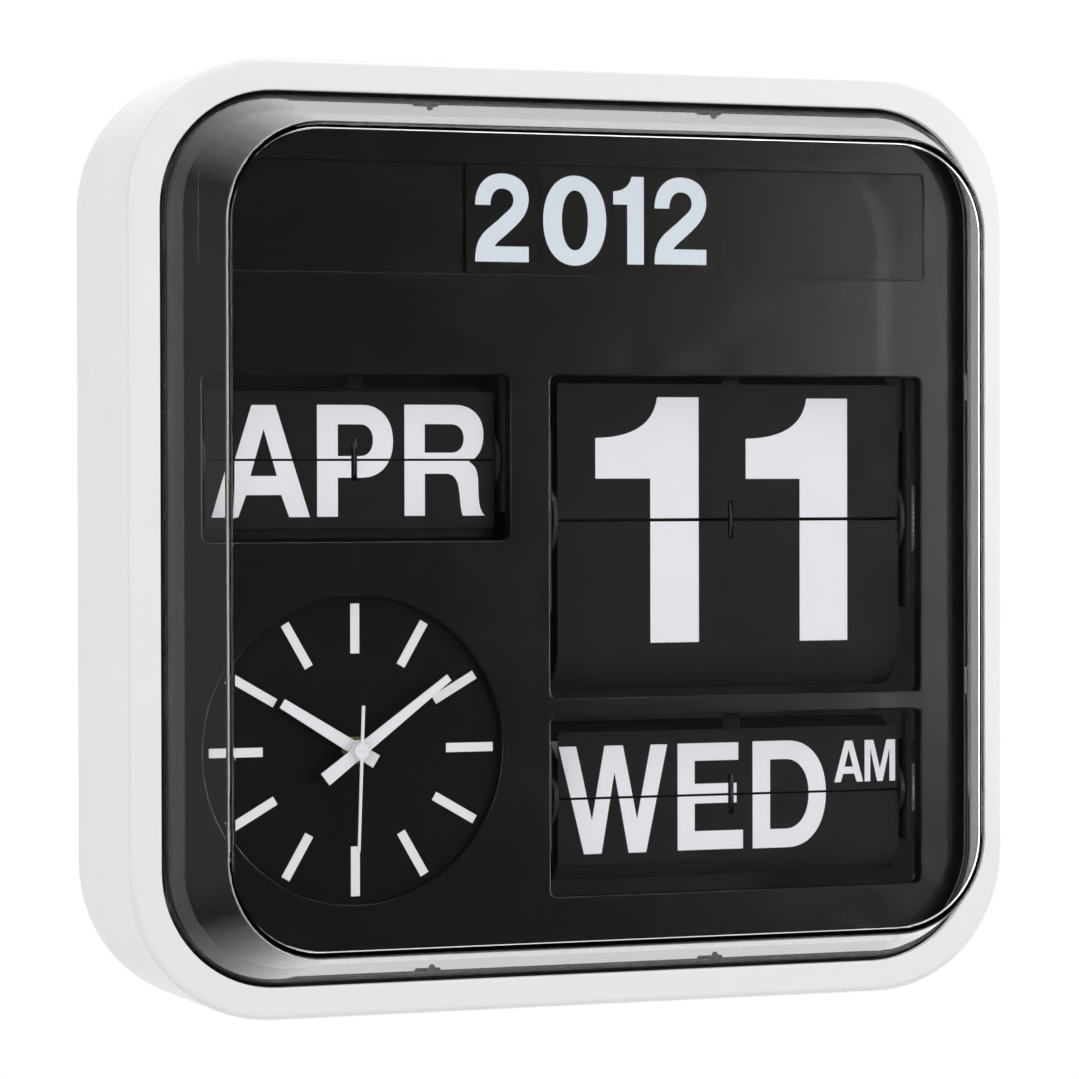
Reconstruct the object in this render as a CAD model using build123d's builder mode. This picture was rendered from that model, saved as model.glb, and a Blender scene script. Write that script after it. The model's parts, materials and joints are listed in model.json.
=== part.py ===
from build123d import *

import math
import os
from dataclasses import dataclass

# Flip calendar wall clock in millimetres. The wall plane is y = 0, the clock faces -Y, +X is to the
# viewer's right and +Z is up. A forward distance runs from the wall plane towards the viewer.

# Case and lens
CASE_DEPTH = 88.0
CASE_CORNER = 66.0
CASE_WALL = 3.5
CASE_EDGE_RADIUS = 3.0
RIM_WIDTH = 14.5
RIM_THICK = 3.2
OPENING_CORNER = 54.0
LENS_WALL = 2.5
LENS_SLOPE = 15.7
LENS_FRONT_CORNER = 44.0
LENS_EDGE_RADIUS = 3.6
LENS_FIT = 1.8
LENS_FLANGE = 5.8
FLANGE_PLAY = 0.2
SWING_CLEARANCE = 2.0

# Layout of the front
FACE_MARGIN = 24.4
COLUMN_GAP = 19.5
TOP_MARGIN = 30.0
YEAR_HEIGHT = 50.1
YEAR_SPACING = 46.1
ROW_GAP = 8.5
BOTTOM_MARGIN = 34.8

# Face plate
FACE_RECESS = 11.0
FACE_THICK = 3.5
FACE_BEVEL = 11.3
FACE_BEVEL_DEPTH = 2.4
UPSTAND_WALL = 3.0
REVEAL_DEPTH = 3.5
REVEAL_WALL = 2.0
WINDOW_CORNER = 3.5
WINDOW_EDGE = 0.8
FLAP_SETBACK = 10.0

# Year channel
YEAR_OVERHANG = 1.4
YEAR_RECESS = 2.2
YEAR_SPACE = 144.0
END_PLATE_THICK = 2.0
TILE_WIDTH = 35.6
NARROW_TILE_WIDTH = 16.9
TILE_THICK = 1.7
TILE_GAP = 0.3
TILE_CORNER = 0.8

# Flip units: flap counts, flap sizes, drums and the fan angles of the upper and lower stacks
MONTH_FLAPS = 12
DATE_FLAPS = 31
WEEKDAY_FLAPS = 14
MONTH_FLAP_WIDTH = 135.4
WIDE_FLAP_WIDTH = 174.0
MONTH_FLAP_LENGTH = 28.5
DATE_FLAP_LENGTH = 61.5
WEEKDAY_FLAP_LENGTH = 28.5
MONTH_FLAP_TAIL = 2.1
DATE_FLAP_TAIL = 1.1
WEEKDAY_FLAP_TAIL = 1.7
MONTH_DRUM_RADIUS = 10.0
DATE_DRUM_RADIUS = 18.0
WEEKDAY_DRUM_RADIUS = 10.0
MONTH_SIDE_GAP = 4.4
WIDE_SIDE_GAP = 7.1
MONTH_GAP_ABOVE = 7.7
DATE_GAP_ABOVE = 3.5
WEEKDAY_GAP_ABOVE = 7.9
MONTH_GAP_BELOW = 5.9
DATE_GAP_BELOW = 18.5
WEEKDAY_GAP_BELOW = 13.6
MONTH_FANS = (3.0, 1.5)
DATE_FANS = (0.6, 0.3)
WEEKDAY_FANS = (2.5, 1.2)
FLAP_THICK = 0.35
FLAP_CORNER = 1.2
TAB_LENGTH = 2.1
TAB_HEIGHT = 1.0
TAB_PLAY = 0.2
NOTCH_WIDTH = 2.6
NOTCH_DEPTH = 7.0
CENTRE_DISC_THICK = 1.0
CENTRE_DISC_RISE = 1.2
DISC_THICK = 2.0
DISC_GAP = 0.4
DISC_RIM = 2.2
SHAFT_RADIUS = 2.5
RUNNING_FIT = 0.05

# Unit frames and drives
FRAME_GAP = 1.2
FRAME_THICK = 2.5
FRAME_REAR_GAP = 2.0
SMALL_PLATE_HALF = 24.0
DATE_PLATE_HALF = 42.0
BAR_RISE = 11.0
BAR_HEIGHT = 5.0
BAR_DEPTH = 5.0
BAR_FRONT_GAP = 1.0
LUG_LENGTH = 12.0
LUG_HEIGHT = 8.0
LUG_THICK = 3.0
LUG_HOLE_INSET = 8.0
POST_RADIUS = 4.0
POST_LENGTH = 4.5
STOP_WIDTH = 8.0
STOP_THICK = 0.5
STOP_GAP = 0.35
GEAR_GAP = 0.8
GEAR_FACE = 4.0
PINION_TEETH = 14
DATE_GEAR_TEETH = 42
SMALL_GEAR_TEETH = 28
DATE_GEAR_MODULE = 0.9
SMALL_GEAR_MODULE = 0.8
BRACKET_GAP = 1.5
BRACKET_THICK = 2.5
BRACKET_WIDTH = 24.0
PILLAR_RADIUS = 3.0
PILLAR_OFFSET = 14.0
MOTOR_RADIUS = 9.0
MOTOR_LENGTH = 18.0
MOTOR_BOSS_RADIUS = 3.5
MOTOR_SHAFT_RADIUS = 1.0
MOTOR_SHAFT_DEPTH = 8.0
BOSS_FIT = 0.1

# Gear teeth, as shares of the module
PRESSURE_ANGLE = 20.0
ADDENDUM = 0.7
DEDENDUM = 1.0
BACKLASH = 0.12

# Dial, hands and movement; a hand is its length, tail, half widths at tip and tail, and hub radius
DIAL_RADIUS = 70.0
DIAL_RIM = 7.0
DIAL_THICK = 1.4
MARKER_MARGIN = 3.7
MARKER_LENGTH = 22.6
MARKER_WIDTH = 4.2
MARKER_THICK = 0.4
MARKER_COUNT = 12
HOUR_HAND = (42.0, 10.0, 2.3, 3.2, 4.8)
MINUTE_HAND = (53.5, 20.8, 1.7, 3.3, 4.2)
SECOND_HAND = (45.5, 20.5, 0.6, 0.7, 3.4)
HOUR_ANGLE = 301.5
MINUTE_ANGLE = 52.8
SECOND_ANGLE = 182.0
HAND_THICK = 0.8
HAND_SPACING = 1.9
HAND_FIT = 0.03
MOVEMENT_SIDE = 56.0
MOVEMENT_CORNER = 3.0
MOVEMENT_DEPTH = 16.0
MOVEMENT_WALL = 1.3
MOVEMENT_COVER = 1.5
BUSH_RADIUS = 4.0
BUSH_REACH = 4.5
NUT_ACROSS = 12.0
NUT_THICK = 2.0
SECOND_ARBOR = 0.7
MINUTE_PIPE = 1.65
HOUR_PIPE = 2.6
MOTION_DISTANCE = 11.0
MOTION_ARBOR = 1.0
KNOB_SHAFT = 1.5
KNOB_RADIUS = 9.0
KNOB_THICK = 5.5
KNOB_STANDOFF = 3.0
KNOB_FLUTES = 18
FLUTE_RADIUS = 0.8
CANNON_TEETH = 12
MOTION_TEETH = 36
MOTION_PINION_TEETH = 12
HOUR_TEETH = 48
CENTRE_TEETH = 40
CENTRE_MODULE = 0.4
SECOND_TEETH = 36
WHEEL_THICK = 1.1
CANNON_THICK = 1.4
LAYER_GAP = 0.4
PIVOT_DEPTH = 0.8
BOARD_WIDTH = 12.0
BOARD_HEIGHT = 30.0
BOARD_THICK = 1.2
COIL_RADIUS = 3.5
COIL_LENGTH = 20.0
COIL_GAP = 0.1
BOARD_INSET = 0.7

# Cells and their bays
AA_RADIUS = 7.1
AA_LENGTH = 50.0
D_RADIUS = 16.6
D_LENGTH = 61.0
NUB_LENGTH = 1.5
NUB_SHARE = 0.3
CELL_PLAY = 0.4
CONTACT_THICK = 1.2
CONTACT_GAP = 0.3
CONTACT_SIDE = 9.0
TRAY_WALL = 1.6
TRAY_FLANGE = 6.0
BAY_SPACING = 10.0
DOOR_LEDGE = 3.0
DOOR_GAP = 0.4
DOOR_THICK = 2.3
BARREL_RADIUS = 1.3
BARREL_CLEARANCE = 0.3
DOOR_PIN_RADIUS = 0.8
DOOR_PIN_LENGTH = 2.4
GRIP_COUNT = 4
GRIP_SIZE = (24.0, 1.2)
GRIP_DEPTH = 0.6
GRIP_PITCH = 2.4

# Rear cover and what it carries
COVER_THICK = 3.0
COVER_FIT = 0.3
WELL_MARGIN = 4.0
WELL_WALL = 2.0
WELL_CORNER = 6.0
WELL_GAP = 1.0
HANGER_SIDE = 46.0
HANGER_THICK = 1.5
HANGER_CORNER = 3.0
HANGER_WINDOW = (22.0, 30.0)
KEYHOLE_RADIUS = 5.0
KEYHOLE_SLOT = 5.6
KEYHOLE_RISE = 11.0
BUTTON_RADIUS = 5.0
BUTTON_PITCH = 25.0
BUTTON_FIT = 0.3
BUTTON_SET = 0.8
BUTTON_LENGTH = 13.2
BUTTON_TRAVEL = 2.0
BUTTON_FLANGE = 1.8
BUTTON_FLANGE_THICK = 1.6
SWITCH_SIDE = 6.0
SWITCH_HEIGHT = 3.5
CONTROL_WIDTH = 92.0
CONTROL_HEIGHT = 42.0
CONTROL_THICK = 1.6
CONTROL_X = 85.0
CONTROL_DROP = 18.0

# Screws
SCREW_RADIUS = 1.5
SCREW_HEAD = 3.0
SCREW_HEAD_HEIGHT = 1.6
SCREW_LENGTH = 8.0
SHORT_SCREW_LENGTH = 4.0
TINY_SCREW_LENGTH = 3.4
SCREW_PLAY = 0.2
SCREW_SINK = 0.2
CROSS_SIZE = (2.6, 0.6)
CROSS_DEPTH = 0.8
PILOT_FIT = 0.05
PILOT_SPARE = 0.6
CASE_BOSS_SIZE = (9.5, 12.0)
CASE_BOSS_LENGTH = 17.0
CASE_BOSS_INSET = 5.5
COVER_FIXING = 120.0
EAR_SIZE = (6.0, 12.0)
EAR_THICK = 2.5
EAR_CLEARANCE = 0.7
FACE_FIXING = 70.0
DIAL_SCREWS = 4
DIAL_SCREW_START = 45.0

# Depth stations, all forward of the wall plane
face_front = CASE_DEPTH - FACE_RECESS
face_back = face_front - FACE_THICK
bevel_back = face_front - FACE_BEVEL_DEPTH
flap_plane = face_front - FLAP_SETBACK
reveal_back = face_back - REVEAL_DEPTH
rim_back = CASE_DEPTH - RIM_THICK
flange_front = rim_back - FLANGE_PLAY
lens_back = flange_front - LENS_WALL
lens_inner_front = flap_plane + DATE_FLAP_LENGTH + SWING_CLEARANCE
lens_front = lens_inner_front + LENS_WALL
lug_front = face_back - POST_LENGTH
lug_back = lug_front - LUG_THICK
dial_back = face_back - DIAL_THICK


def front_plane(forward):
    """Plane that faces the viewer, with local x to the right and local y up."""
    return Plane.XZ.offset(forward)


def side_plane(x):
    """Plane across X, with local x towards the wall and local y up."""
    return Plane.YZ.offset(x)


def save(piece, label):
    """Name a finished piece and write it as its own file."""
    piece.part.label = label
    export_step(piece.part, f"parts/{label}.step")


@dataclass(frozen=True)
class FlipUnit:
    """One split-flap display: a drum of flaps in its frame, with a motor at one end."""

    name: str
    flaps: int
    width: float
    length: float
    tail: float
    radius: float
    side_gap: float
    gap_above: float
    gap_below: float
    gear_teeth: int
    gear_module: float
    drive: int
    plate_half: float
    fans: tuple

    @property
    def step(self):
        """Turn of the drum from one flap to the next, in degrees."""
        return 360.0 / self.flaps

    @property
    def pin_rise(self):
        """Height of the upper flap's hinge above the drum's axis."""
        return self.radius * math.sin(math.radians(self.step / 2))

    @property
    def axis_forward(self):
        """Forward distance of the drum's axis, which puts both visible flaps in the flap plane."""
        return flap_plane - self.radius * math.cos(math.radians(self.step / 2))

    @property
    def window_width(self):
        return self.width + 2 * self.side_gap

    @property
    def window_above(self):
        return self.pin_rise + self.length + self.gap_above

    @property
    def window_below(self):
        return self.pin_rise + self.length + self.gap_below

    @property
    def window_height(self):
        return self.window_above + self.window_below

    @property
    def disc_inner(self):
        return self.width / 2 + DISC_GAP

    @property
    def plate_inner(self):
        return self.disc_inner + DISC_THICK + FRAME_GAP

    @property
    def plate_outer(self):
        return self.plate_inner + FRAME_THICK

    @property
    def gear_inner(self):
        return self.plate_outer + GEAR_GAP

    @property
    def bracket_inner(self):
        return self.gear_inner + GEAR_FACE + BRACKET_GAP

    @property
    def lug_rise(self):
        return self.plate_half - LUG_HEIGHT / 2

    @property
    def gear_distance(self):
        return self.gear_module * (self.gear_teeth + PINION_TEETH) / 2

    def lean(self, index):
        """Backward lean of one flap from upright, so that the stacks fan out without touching."""
        upper_count = (self.flaps - 2) // 2
        if index == 0:
            return 0.0
        if index <= upper_count:
            return self.step + (index - 1) * self.fans[0]
        return 180.0 - (self.flaps - 1 - index) * self.fans[1]

    def rear_reach(self):
        """Furthest that any flap reaches behind the axis, at rest or one step on."""
        reaches = []
        for index in range(1, self.flaps):
            for turn in (0.0, self.step):
                angle = math.radians(self.step * (index + 0.5) - turn)
                lean = math.radians(self.lean(index) - turn)
                reaches.append(self.length * math.sin(lean) - self.radius * math.cos(angle))
        return max(reaches)


month = FlipUnit(
    "month", MONTH_FLAPS, MONTH_FLAP_WIDTH, MONTH_FLAP_LENGTH, MONTH_FLAP_TAIL, MONTH_DRUM_RADIUS,
    MONTH_SIDE_GAP, MONTH_GAP_ABOVE, MONTH_GAP_BELOW, SMALL_GEAR_TEETH, SMALL_GEAR_MODULE,
    drive=-1, plate_half=SMALL_PLATE_HALF, fans=MONTH_FANS,
)
date = FlipUnit(
    "date", DATE_FLAPS, WIDE_FLAP_WIDTH, DATE_FLAP_LENGTH, DATE_FLAP_TAIL, DATE_DRUM_RADIUS,
    WIDE_SIDE_GAP, DATE_GAP_ABOVE, DATE_GAP_BELOW, DATE_GEAR_TEETH, DATE_GEAR_MODULE,
    drive=1, plate_half=DATE_PLATE_HALF, fans=DATE_FANS,
)
weekday = FlipUnit(
    "weekday", WEEKDAY_FLAPS, WIDE_FLAP_WIDTH, WEEKDAY_FLAP_LENGTH, WEEKDAY_FLAP_TAIL, WEEKDAY_DRUM_RADIUS,
    WIDE_SIDE_GAP, WEEKDAY_GAP_ABOVE, WEEKDAY_GAP_BELOW, SMALL_GEAR_TEETH, SMALL_GEAR_MODULE,
    drive=1, plate_half=SMALL_PLATE_HALF, fans=WEEKDAY_FANS,
)
units = [month, date, weekday]

# The front is as wide and as high as its two columns and three rows need
left_column = max(month.window_width, 2 * DIAL_RADIUS)
opening_width = 2 * FACE_MARGIN + left_column + COLUMN_GAP + date.window_width
opening_height = (
    TOP_MARGIN + YEAR_HEIGHT + YEAR_SPACING + date.window_height + ROW_GAP + weekday.window_height
    + BOTTOM_MARGIN
)
case_width = opening_width + 2 * RIM_WIDTH
case_height = opening_height + 2 * RIM_WIDTH
inner_width = case_width - 2 * CASE_WALL
inner_height = case_height - 2 * CASE_WALL
lens_width = opening_width - 2 * LENS_FIT
lens_height = opening_height - 2 * LENS_FIT
face_width = lens_width + 2 * LENS_FLANGE
face_height = lens_height + 2 * LENS_FLANGE
face_corner = OPENING_CORNER - LENS_FIT + LENS_FLANGE

left_edge = FACE_MARGIN - opening_width / 2
right_edge = opening_width / 2 - FACE_MARGIN
year_top = opening_height / 2 - TOP_MARGIN
year_z = year_top - YEAR_HEIGHT / 2
windows_top = year_top - YEAR_HEIGHT - YEAR_SPACING
weekday_top = windows_top - date.window_height - ROW_GAP
window_bottom = weekday_top - weekday.window_height
centre_x = {
    "month": left_edge + month.window_width / 2,
    "date": right_edge - date.window_width / 2,
    "weekday": right_edge - weekday.window_width / 2,
}
axis_z = {
    "month": windows_top - month.window_above,
    "date": windows_top - date.window_above,
    "weekday": weekday_top - weekday.window_above,
}
dial_x = left_edge + DIAL_RADIUS
dial_z = window_bottom + DIAL_RADIUS


def side_places(half_width, half_height, offset):
    """Two places on each of the four sides, with local x pointing outwards."""
    places = []
    for turn, reach in ((0, half_width), (90, half_height), (180, half_width), (270, half_height)):
        angle = math.radians(turn)
        for along in (-offset, offset):
            x = reach * math.cos(angle) - along * math.sin(angle)
            y = reach * math.sin(angle) + along * math.cos(angle)
            places.append(Location((x, y, 0), (0, 0, turn)))
    return places


def frame_fixings(unit):
    """Centres of the four screws that hold a unit's frame to the face plate."""
    reach = unit.plate_outer + LUG_HOLE_INSET
    return [
        (centre_x[unit.name] + side * reach, axis_z[unit.name] + rise * unit.lug_rise)
        for side in (-1, 1)
        for rise in (-1, 1)
    ]


def gear_outline(teeth, module, phase):
    """Closed outline of an involute gear with a tooth centred at the phase angle, in degrees."""
    pitch = module * teeth / 2
    base = pitch * math.cos(math.radians(PRESSURE_ANGLE))
    tip = pitch + ADDENDUM * module
    root = pitch - DEDENDUM * module

    def roll(radius):
        angle = math.acos(min(1.0, base / radius))
        return math.tan(angle) - angle

    half_tooth = math.pi / (2 * teeth) - BACKLASH * module / (2 * pitch)
    flank = [root, max(root, base), pitch, (pitch + tip) / 2, tip]
    offsets = [half_tooth + roll(pitch) - roll(max(radius, base)) for radius in flank]
    points = []
    for tooth in range(teeth):
        centre = math.radians(phase + 360.0 * tooth / teeth)
        rising = [(radius, centre - offset) for radius, offset in zip(flank, offsets)]
        falling = [(radius, centre + offset) for radius, offset in zip(flank[::-1], offsets[::-1])]
        points += [(r * math.cos(a), r * math.sin(a)) for r, a in rising + falling]
    return [p for p, q in zip(points, points[1:] + points[:1]) if math.dist(p, q) > 1e-6]


def screws(places, seat, length, direction=1):
    """Group of cross-head screws. Their heads sit at the seat, and their shanks point along the direction."""
    head_start = seat - SCREW_HEAD_HEIGHT if direction > 0 else seat
    head_outer = seat - direction * SCREW_HEAD_HEIGHT
    with BuildPart() as group:
        with BuildSketch(front_plane(head_start)):
            with Locations(*places):
                Circle(SCREW_HEAD)
        extrude(amount=SCREW_HEAD_HEIGHT)
        with BuildSketch(front_plane(seat)):
            with Locations(*places):
                Circle(SCREW_RADIUS)
        extrude(amount=direction * length)
        with BuildSketch(front_plane(head_outer)):
            with Locations(*places):
                Rectangle(*CROSS_SIZE)
                Rectangle(*CROSS_SIZE[::-1])
        extrude(amount=direction * CROSS_DEPTH, mode=Mode.SUBTRACT)
    return group


def pilot(places, start, length):
    """Cut screw holes into the part being built, from a forward station."""
    with BuildSketch(front_plane(start)) as holes:
        with Locations(*places):
            Circle(SCREW_RADIUS + PILOT_FIT)
    extrude(holes.sketch, amount=length, mode=Mode.SUBTRACT)


os.makedirs("parts", exist_ok=True)

# Case shell: a rounded tub with a flat front rim, open at the back
cover_places = side_places(
    inner_width / 2 - CASE_BOSS_INSET, inner_height / 2 - CASE_BOSS_INSET, COVER_FIXING
)
ear_reach = EAR_CLEARANCE + EAR_SIZE[0] / 2
ear_places = side_places(face_width / 2 + ear_reach, face_height / 2 + ear_reach, FACE_FIXING)
cover_boss_places = side_places(
    inner_width / 2 - CASE_BOSS_SIZE[0] / 2, inner_height / 2 - CASE_BOSS_SIZE[0] / 2, COVER_FIXING
)
ear_front = face_back + EAR_THICK
with BuildPart() as case_shell:
    with BuildSketch(front_plane(0)):
        RectangleRounded(case_width, case_height, CASE_CORNER)
    extrude(amount=CASE_DEPTH)
    fillet(case_shell.edges().group_by(Axis.Y)[0], CASE_EDGE_RADIUS)
    with BuildSketch(front_plane(0)):
        RectangleRounded(inner_width, inner_height, CASE_CORNER - CASE_WALL)
    extrude(amount=rim_back, mode=Mode.SUBTRACT)
    with BuildSketch(front_plane(rim_back)):
        RectangleRounded(opening_width, opening_height, OPENING_CORNER)
    extrude(amount=RIM_THICK, mode=Mode.SUBTRACT)
    fillet(case_shell.edges(Select.LAST).group_by(Axis.Y)[0], WINDOW_EDGE)
    with BuildSketch(front_plane(COVER_THICK)):
        with Locations(*cover_boss_places):
            Rectangle(CASE_BOSS_SIZE[0] + CASE_WALL, CASE_BOSS_SIZE[1])
        RectangleRounded(case_width - CASE_WALL, case_height - CASE_WALL, CASE_CORNER, mode=Mode.INTERSECT)
    extrude(amount=CASE_BOSS_LENGTH)
    with BuildSketch(front_plane(ear_front)):
        with Locations(*ear_places):
            Rectangle(EAR_SIZE[0] + CASE_WALL, EAR_SIZE[1])
        RectangleRounded(case_width - CASE_WALL, case_height - CASE_WALL, CASE_CORNER, mode=Mode.INTERSECT)
        RectangleRounded(
            face_width + EAR_CLEARANCE, face_height + EAR_CLEARANCE, face_corner, mode=Mode.SUBTRACT
        )
    extrude(amount=rim_back - ear_front)
    pilot(cover_places, COVER_THICK, SCREW_LENGTH)
    pilot(ear_places, ear_front, SCREW_LENGTH - EAR_THICK + PILOT_SPARE)
save(case_shell, "case_shell")

# Front lens: a clear rounded frustum of even wall on a clamped flange
with BuildPart() as front_lens:
    for inset in (0, LENS_WALL):
        mode = Mode.SUBTRACT if inset else Mode.ADD
        base_size = (lens_width - 2 * inset, lens_height - 2 * inset)
        base_corner = OPENING_CORNER - LENS_FIT - inset
        tip_size = (base_size[0] - 2 * LENS_SLOPE, base_size[1] - 2 * LENS_SLOPE)
        with BuildSketch(front_plane(lens_back)):
            RectangleRounded(*base_size, base_corner)
        extrude(amount=CASE_DEPTH - lens_back, mode=mode)
        with BuildSketch(front_plane(CASE_DEPTH)):
            RectangleRounded(*base_size, base_corner)
        with BuildSketch(front_plane(lens_front - inset)):
            RectangleRounded(*tip_size, LENS_FRONT_CORNER - inset)
        loft(ruled=True, mode=mode)
        front_edges = front_lens.edges(Select.LAST) if inset else front_lens.edges()
        fillet(front_edges.group_by(Axis.Y)[0], LENS_EDGE_RADIUS - inset)
    with BuildSketch(front_plane(lens_back)):
        RectangleRounded(face_width, face_height, face_corner)
        RectangleRounded(
            lens_width - LENS_WALL, lens_height - LENS_WALL, OPENING_CORNER - LENS_WALL / 2,
            mode=Mode.SUBTRACT,
        )
    extrude(amount=LENS_WALL)
save(front_lens, "front_lens")

# Face plate with its windows, dial opening, year channel and the posts for the unit frames
dial_screw_radius = DIAL_RADIUS + DIAL_RIM / 2
dial_screw_places = []
for index in range(DIAL_SCREWS):
    angle = math.radians(DIAL_SCREW_START + 360 * index / DIAL_SCREWS)
    dial_screw_places.append(
        (dial_x + dial_screw_radius * math.cos(angle), dial_z + dial_screw_radius * math.sin(angle))
    )
with BuildPart() as face_plate:
    with BuildSketch(front_plane(face_back)):
        RectangleRounded(face_width, face_height, face_corner)
    extrude(amount=FACE_THICK - FACE_BEVEL_DEPTH)
    for inset, forward in ((UPSTAND_WALL, bevel_back), (UPSTAND_WALL + FACE_BEVEL, face_front)):
        with BuildSketch(front_plane(forward)):
            RectangleRounded(face_width - 2 * inset, face_height - 2 * inset, face_corner - inset)
    loft(ruled=True)
    with BuildSketch(front_plane(bevel_back)):
        RectangleRounded(face_width, face_height, face_corner)
        RectangleRounded(
            face_width - 2 * UPSTAND_WALL, face_height - 2 * UPSTAND_WALL, face_corner - UPSTAND_WALL,
            mode=Mode.SUBTRACT,
        )
    extrude(amount=lens_back - bevel_back - FLANGE_PLAY)
    with BuildSketch(front_plane(face_back)):
        with Locations(*ear_places):
            Rectangle(EAR_SIZE[0] + 2 * (EAR_CLEARANCE + UPSTAND_WALL), EAR_SIZE[1])
        RectangleRounded(
            inner_width - 2 * COVER_FIT, inner_height - 2 * COVER_FIT, CASE_CORNER - CASE_WALL,
            mode=Mode.INTERSECT,
        )
        with Locations(*ear_places):
            Circle(SCREW_RADIUS + SCREW_PLAY, mode=Mode.SUBTRACT)
    extrude(amount=EAR_THICK)
    for unit in units:
        window_z = axis_z[unit.name] + (unit.window_above - unit.window_below) / 2
        with BuildSketch(front_plane(reveal_back)):
            with Locations((centre_x[unit.name], window_z)):
                RectangleRounded(
                    unit.window_width + 2 * REVEAL_WALL, unit.window_height + 2 * REVEAL_WALL,
                    WINDOW_CORNER + REVEAL_WALL,
                )
        extrude(amount=REVEAL_DEPTH)
        with BuildSketch(front_plane(lug_front)):
            with Locations(*frame_fixings(unit)):
                Circle(POST_RADIUS)
        extrude(amount=POST_LENGTH)
    for unit in units:
        window_z = axis_z[unit.name] + (unit.window_above - unit.window_below) / 2
        with BuildSketch(front_plane(reveal_back)):
            with Locations((centre_x[unit.name], window_z)):
                RectangleRounded(unit.window_width, unit.window_height, WINDOW_CORNER)
        extrude(amount=REVEAL_DEPTH + FACE_THICK, mode=Mode.SUBTRACT)
        fillet(face_plate.edges(Select.LAST).group_by(Axis.Y)[0], WINDOW_EDGE)
        pilot(frame_fixings(unit), lug_front, SCREW_LENGTH - LUG_THICK + PILOT_SPARE)
    with BuildSketch(front_plane(face_back)):
        with Locations((dial_x, dial_z)):
            Circle(DIAL_RADIUS)
    extrude(amount=FACE_THICK, mode=Mode.SUBTRACT)
    fillet(face_plate.edges(Select.LAST).group_by(Axis.Y)[0], WINDOW_EDGE)
    with BuildSketch(front_plane(face_front - YEAR_RECESS)):
        with Locations((0, year_z)):
            RectangleRounded(
                right_edge - left_edge + 2 * YEAR_OVERHANG, YEAR_HEIGHT, WINDOW_CORNER
            )
    extrude(amount=YEAR_RECESS, mode=Mode.SUBTRACT)
    fillet(face_plate.edges(Select.LAST).group_by(Axis.Y)[0], WINDOW_EDGE / 2)
    pilot(dial_screw_places, face_back, SHORT_SCREW_LENGTH - DIAL_THICK + PILOT_SPARE / 2)
save(face_plate, "face_plate")

# Dial plate behind its opening, with twelve raised hour bars
with BuildPart() as dial_plate:
    with BuildSketch(front_plane(dial_back)):
        with Locations((dial_x, dial_z)):
            Circle(DIAL_RADIUS + DIAL_RIM)
            Circle(BUSH_RADIUS + BOSS_FIT, mode=Mode.SUBTRACT)
        with Locations(*dial_screw_places):
            Circle(SCREW_RADIUS + SCREW_PLAY, mode=Mode.SUBTRACT)
    extrude(amount=DIAL_THICK)
save(dial_plate, "dial_plate")

with BuildPart() as hour_markers:
    with BuildSketch(front_plane(face_back)):
        with Locations((dial_x, dial_z)):
            with PolarLocations(DIAL_RADIUS - MARKER_MARGIN - MARKER_LENGTH / 2, MARKER_COUNT):
                Rectangle(MARKER_LENGTH, MARKER_WIDTH)
    extrude(amount=MARKER_THICK)
save(hour_markers, "hour_markers")

# Year channel: two plain end plates and four number tiles that slide between them
year_floor = face_front - YEAR_RECESS
channel_end = right_edge + YEAR_OVERHANG
with BuildPart() as year_end_plates:
    end_width = channel_end - YEAR_SPACE / 2 - TILE_GAP
    with BuildSketch(front_plane(year_floor)):
        with Locations((-(YEAR_SPACE + end_width) / 2, year_z), ((YEAR_SPACE + end_width) / 2, year_z)):
            RectangleRounded(end_width, YEAR_HEIGHT - 2 * TILE_GAP, WINDOW_CORNER - TILE_GAP)
    extrude(amount=END_PLATE_THICK)
save(year_end_plates, "year_end_plates")

tile_right = YEAR_SPACE / 2 - TILE_GAP
tile_widths = {1: TILE_WIDTH, 2: TILE_WIDTH, 3: NARROW_TILE_WIDTH, 4: TILE_WIDTH}
for number, tile_width in reversed(tile_widths.items()):
    with BuildPart() as year_tile:
        with BuildSketch(front_plane(year_floor + RUNNING_FIT)):
            with Locations((tile_right - tile_width / 2, year_z)):
                RectangleRounded(tile_width, YEAR_HEIGHT - 2 * TILE_GAP, TILE_CORNER)
        extrude(amount=TILE_THICK)
    save(year_tile, f"year_tile_{number}")
    tile_right -= tile_width + TILE_GAP

# Stations inside the movement, counted back from the dial
movement_back = dial_back - MOVEMENT_DEPTH
cover_front = movement_back + MOVEMENT_COVER
inner_front = dial_back - MOVEMENT_WALL
hour_wheel_back = inner_front - LAYER_GAP - WHEEL_THICK
cannon_back = hour_wheel_back - LAYER_GAP - CANNON_THICK
centre_back = cannon_back - LAYER_GAP - WHEEL_THICK
second_back = centre_back - LAYER_GAP - WHEEL_THICK
hour_hand_back = face_back + BUSH_REACH
minute_hand_back = hour_hand_back + HAND_THICK + HAND_SPACING
second_hand_back = minute_hand_back + HAND_THICK + HAND_SPACING
motion_z = dial_z + MOTION_DISTANCE
cannon_module = 2 * MOTION_DISTANCE / (CANNON_TEETH + MOTION_TEETH)
hour_module = 2 * MOTION_DISTANCE / (MOTION_PINION_TEETH + HOUR_TEETH)
movement_inner = MOVEMENT_SIDE - 2 * MOVEMENT_WALL
aa_bay_height = 2 * (AA_RADIUS + CELL_PLAY)
aa_z = dial_z - movement_inner / 2 + aa_bay_height / 2
partition_z = aa_z + (aa_bay_height + MOVEMENT_WALL) / 2
aa_forward = inner_front - CELL_PLAY - AA_RADIUS

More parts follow.
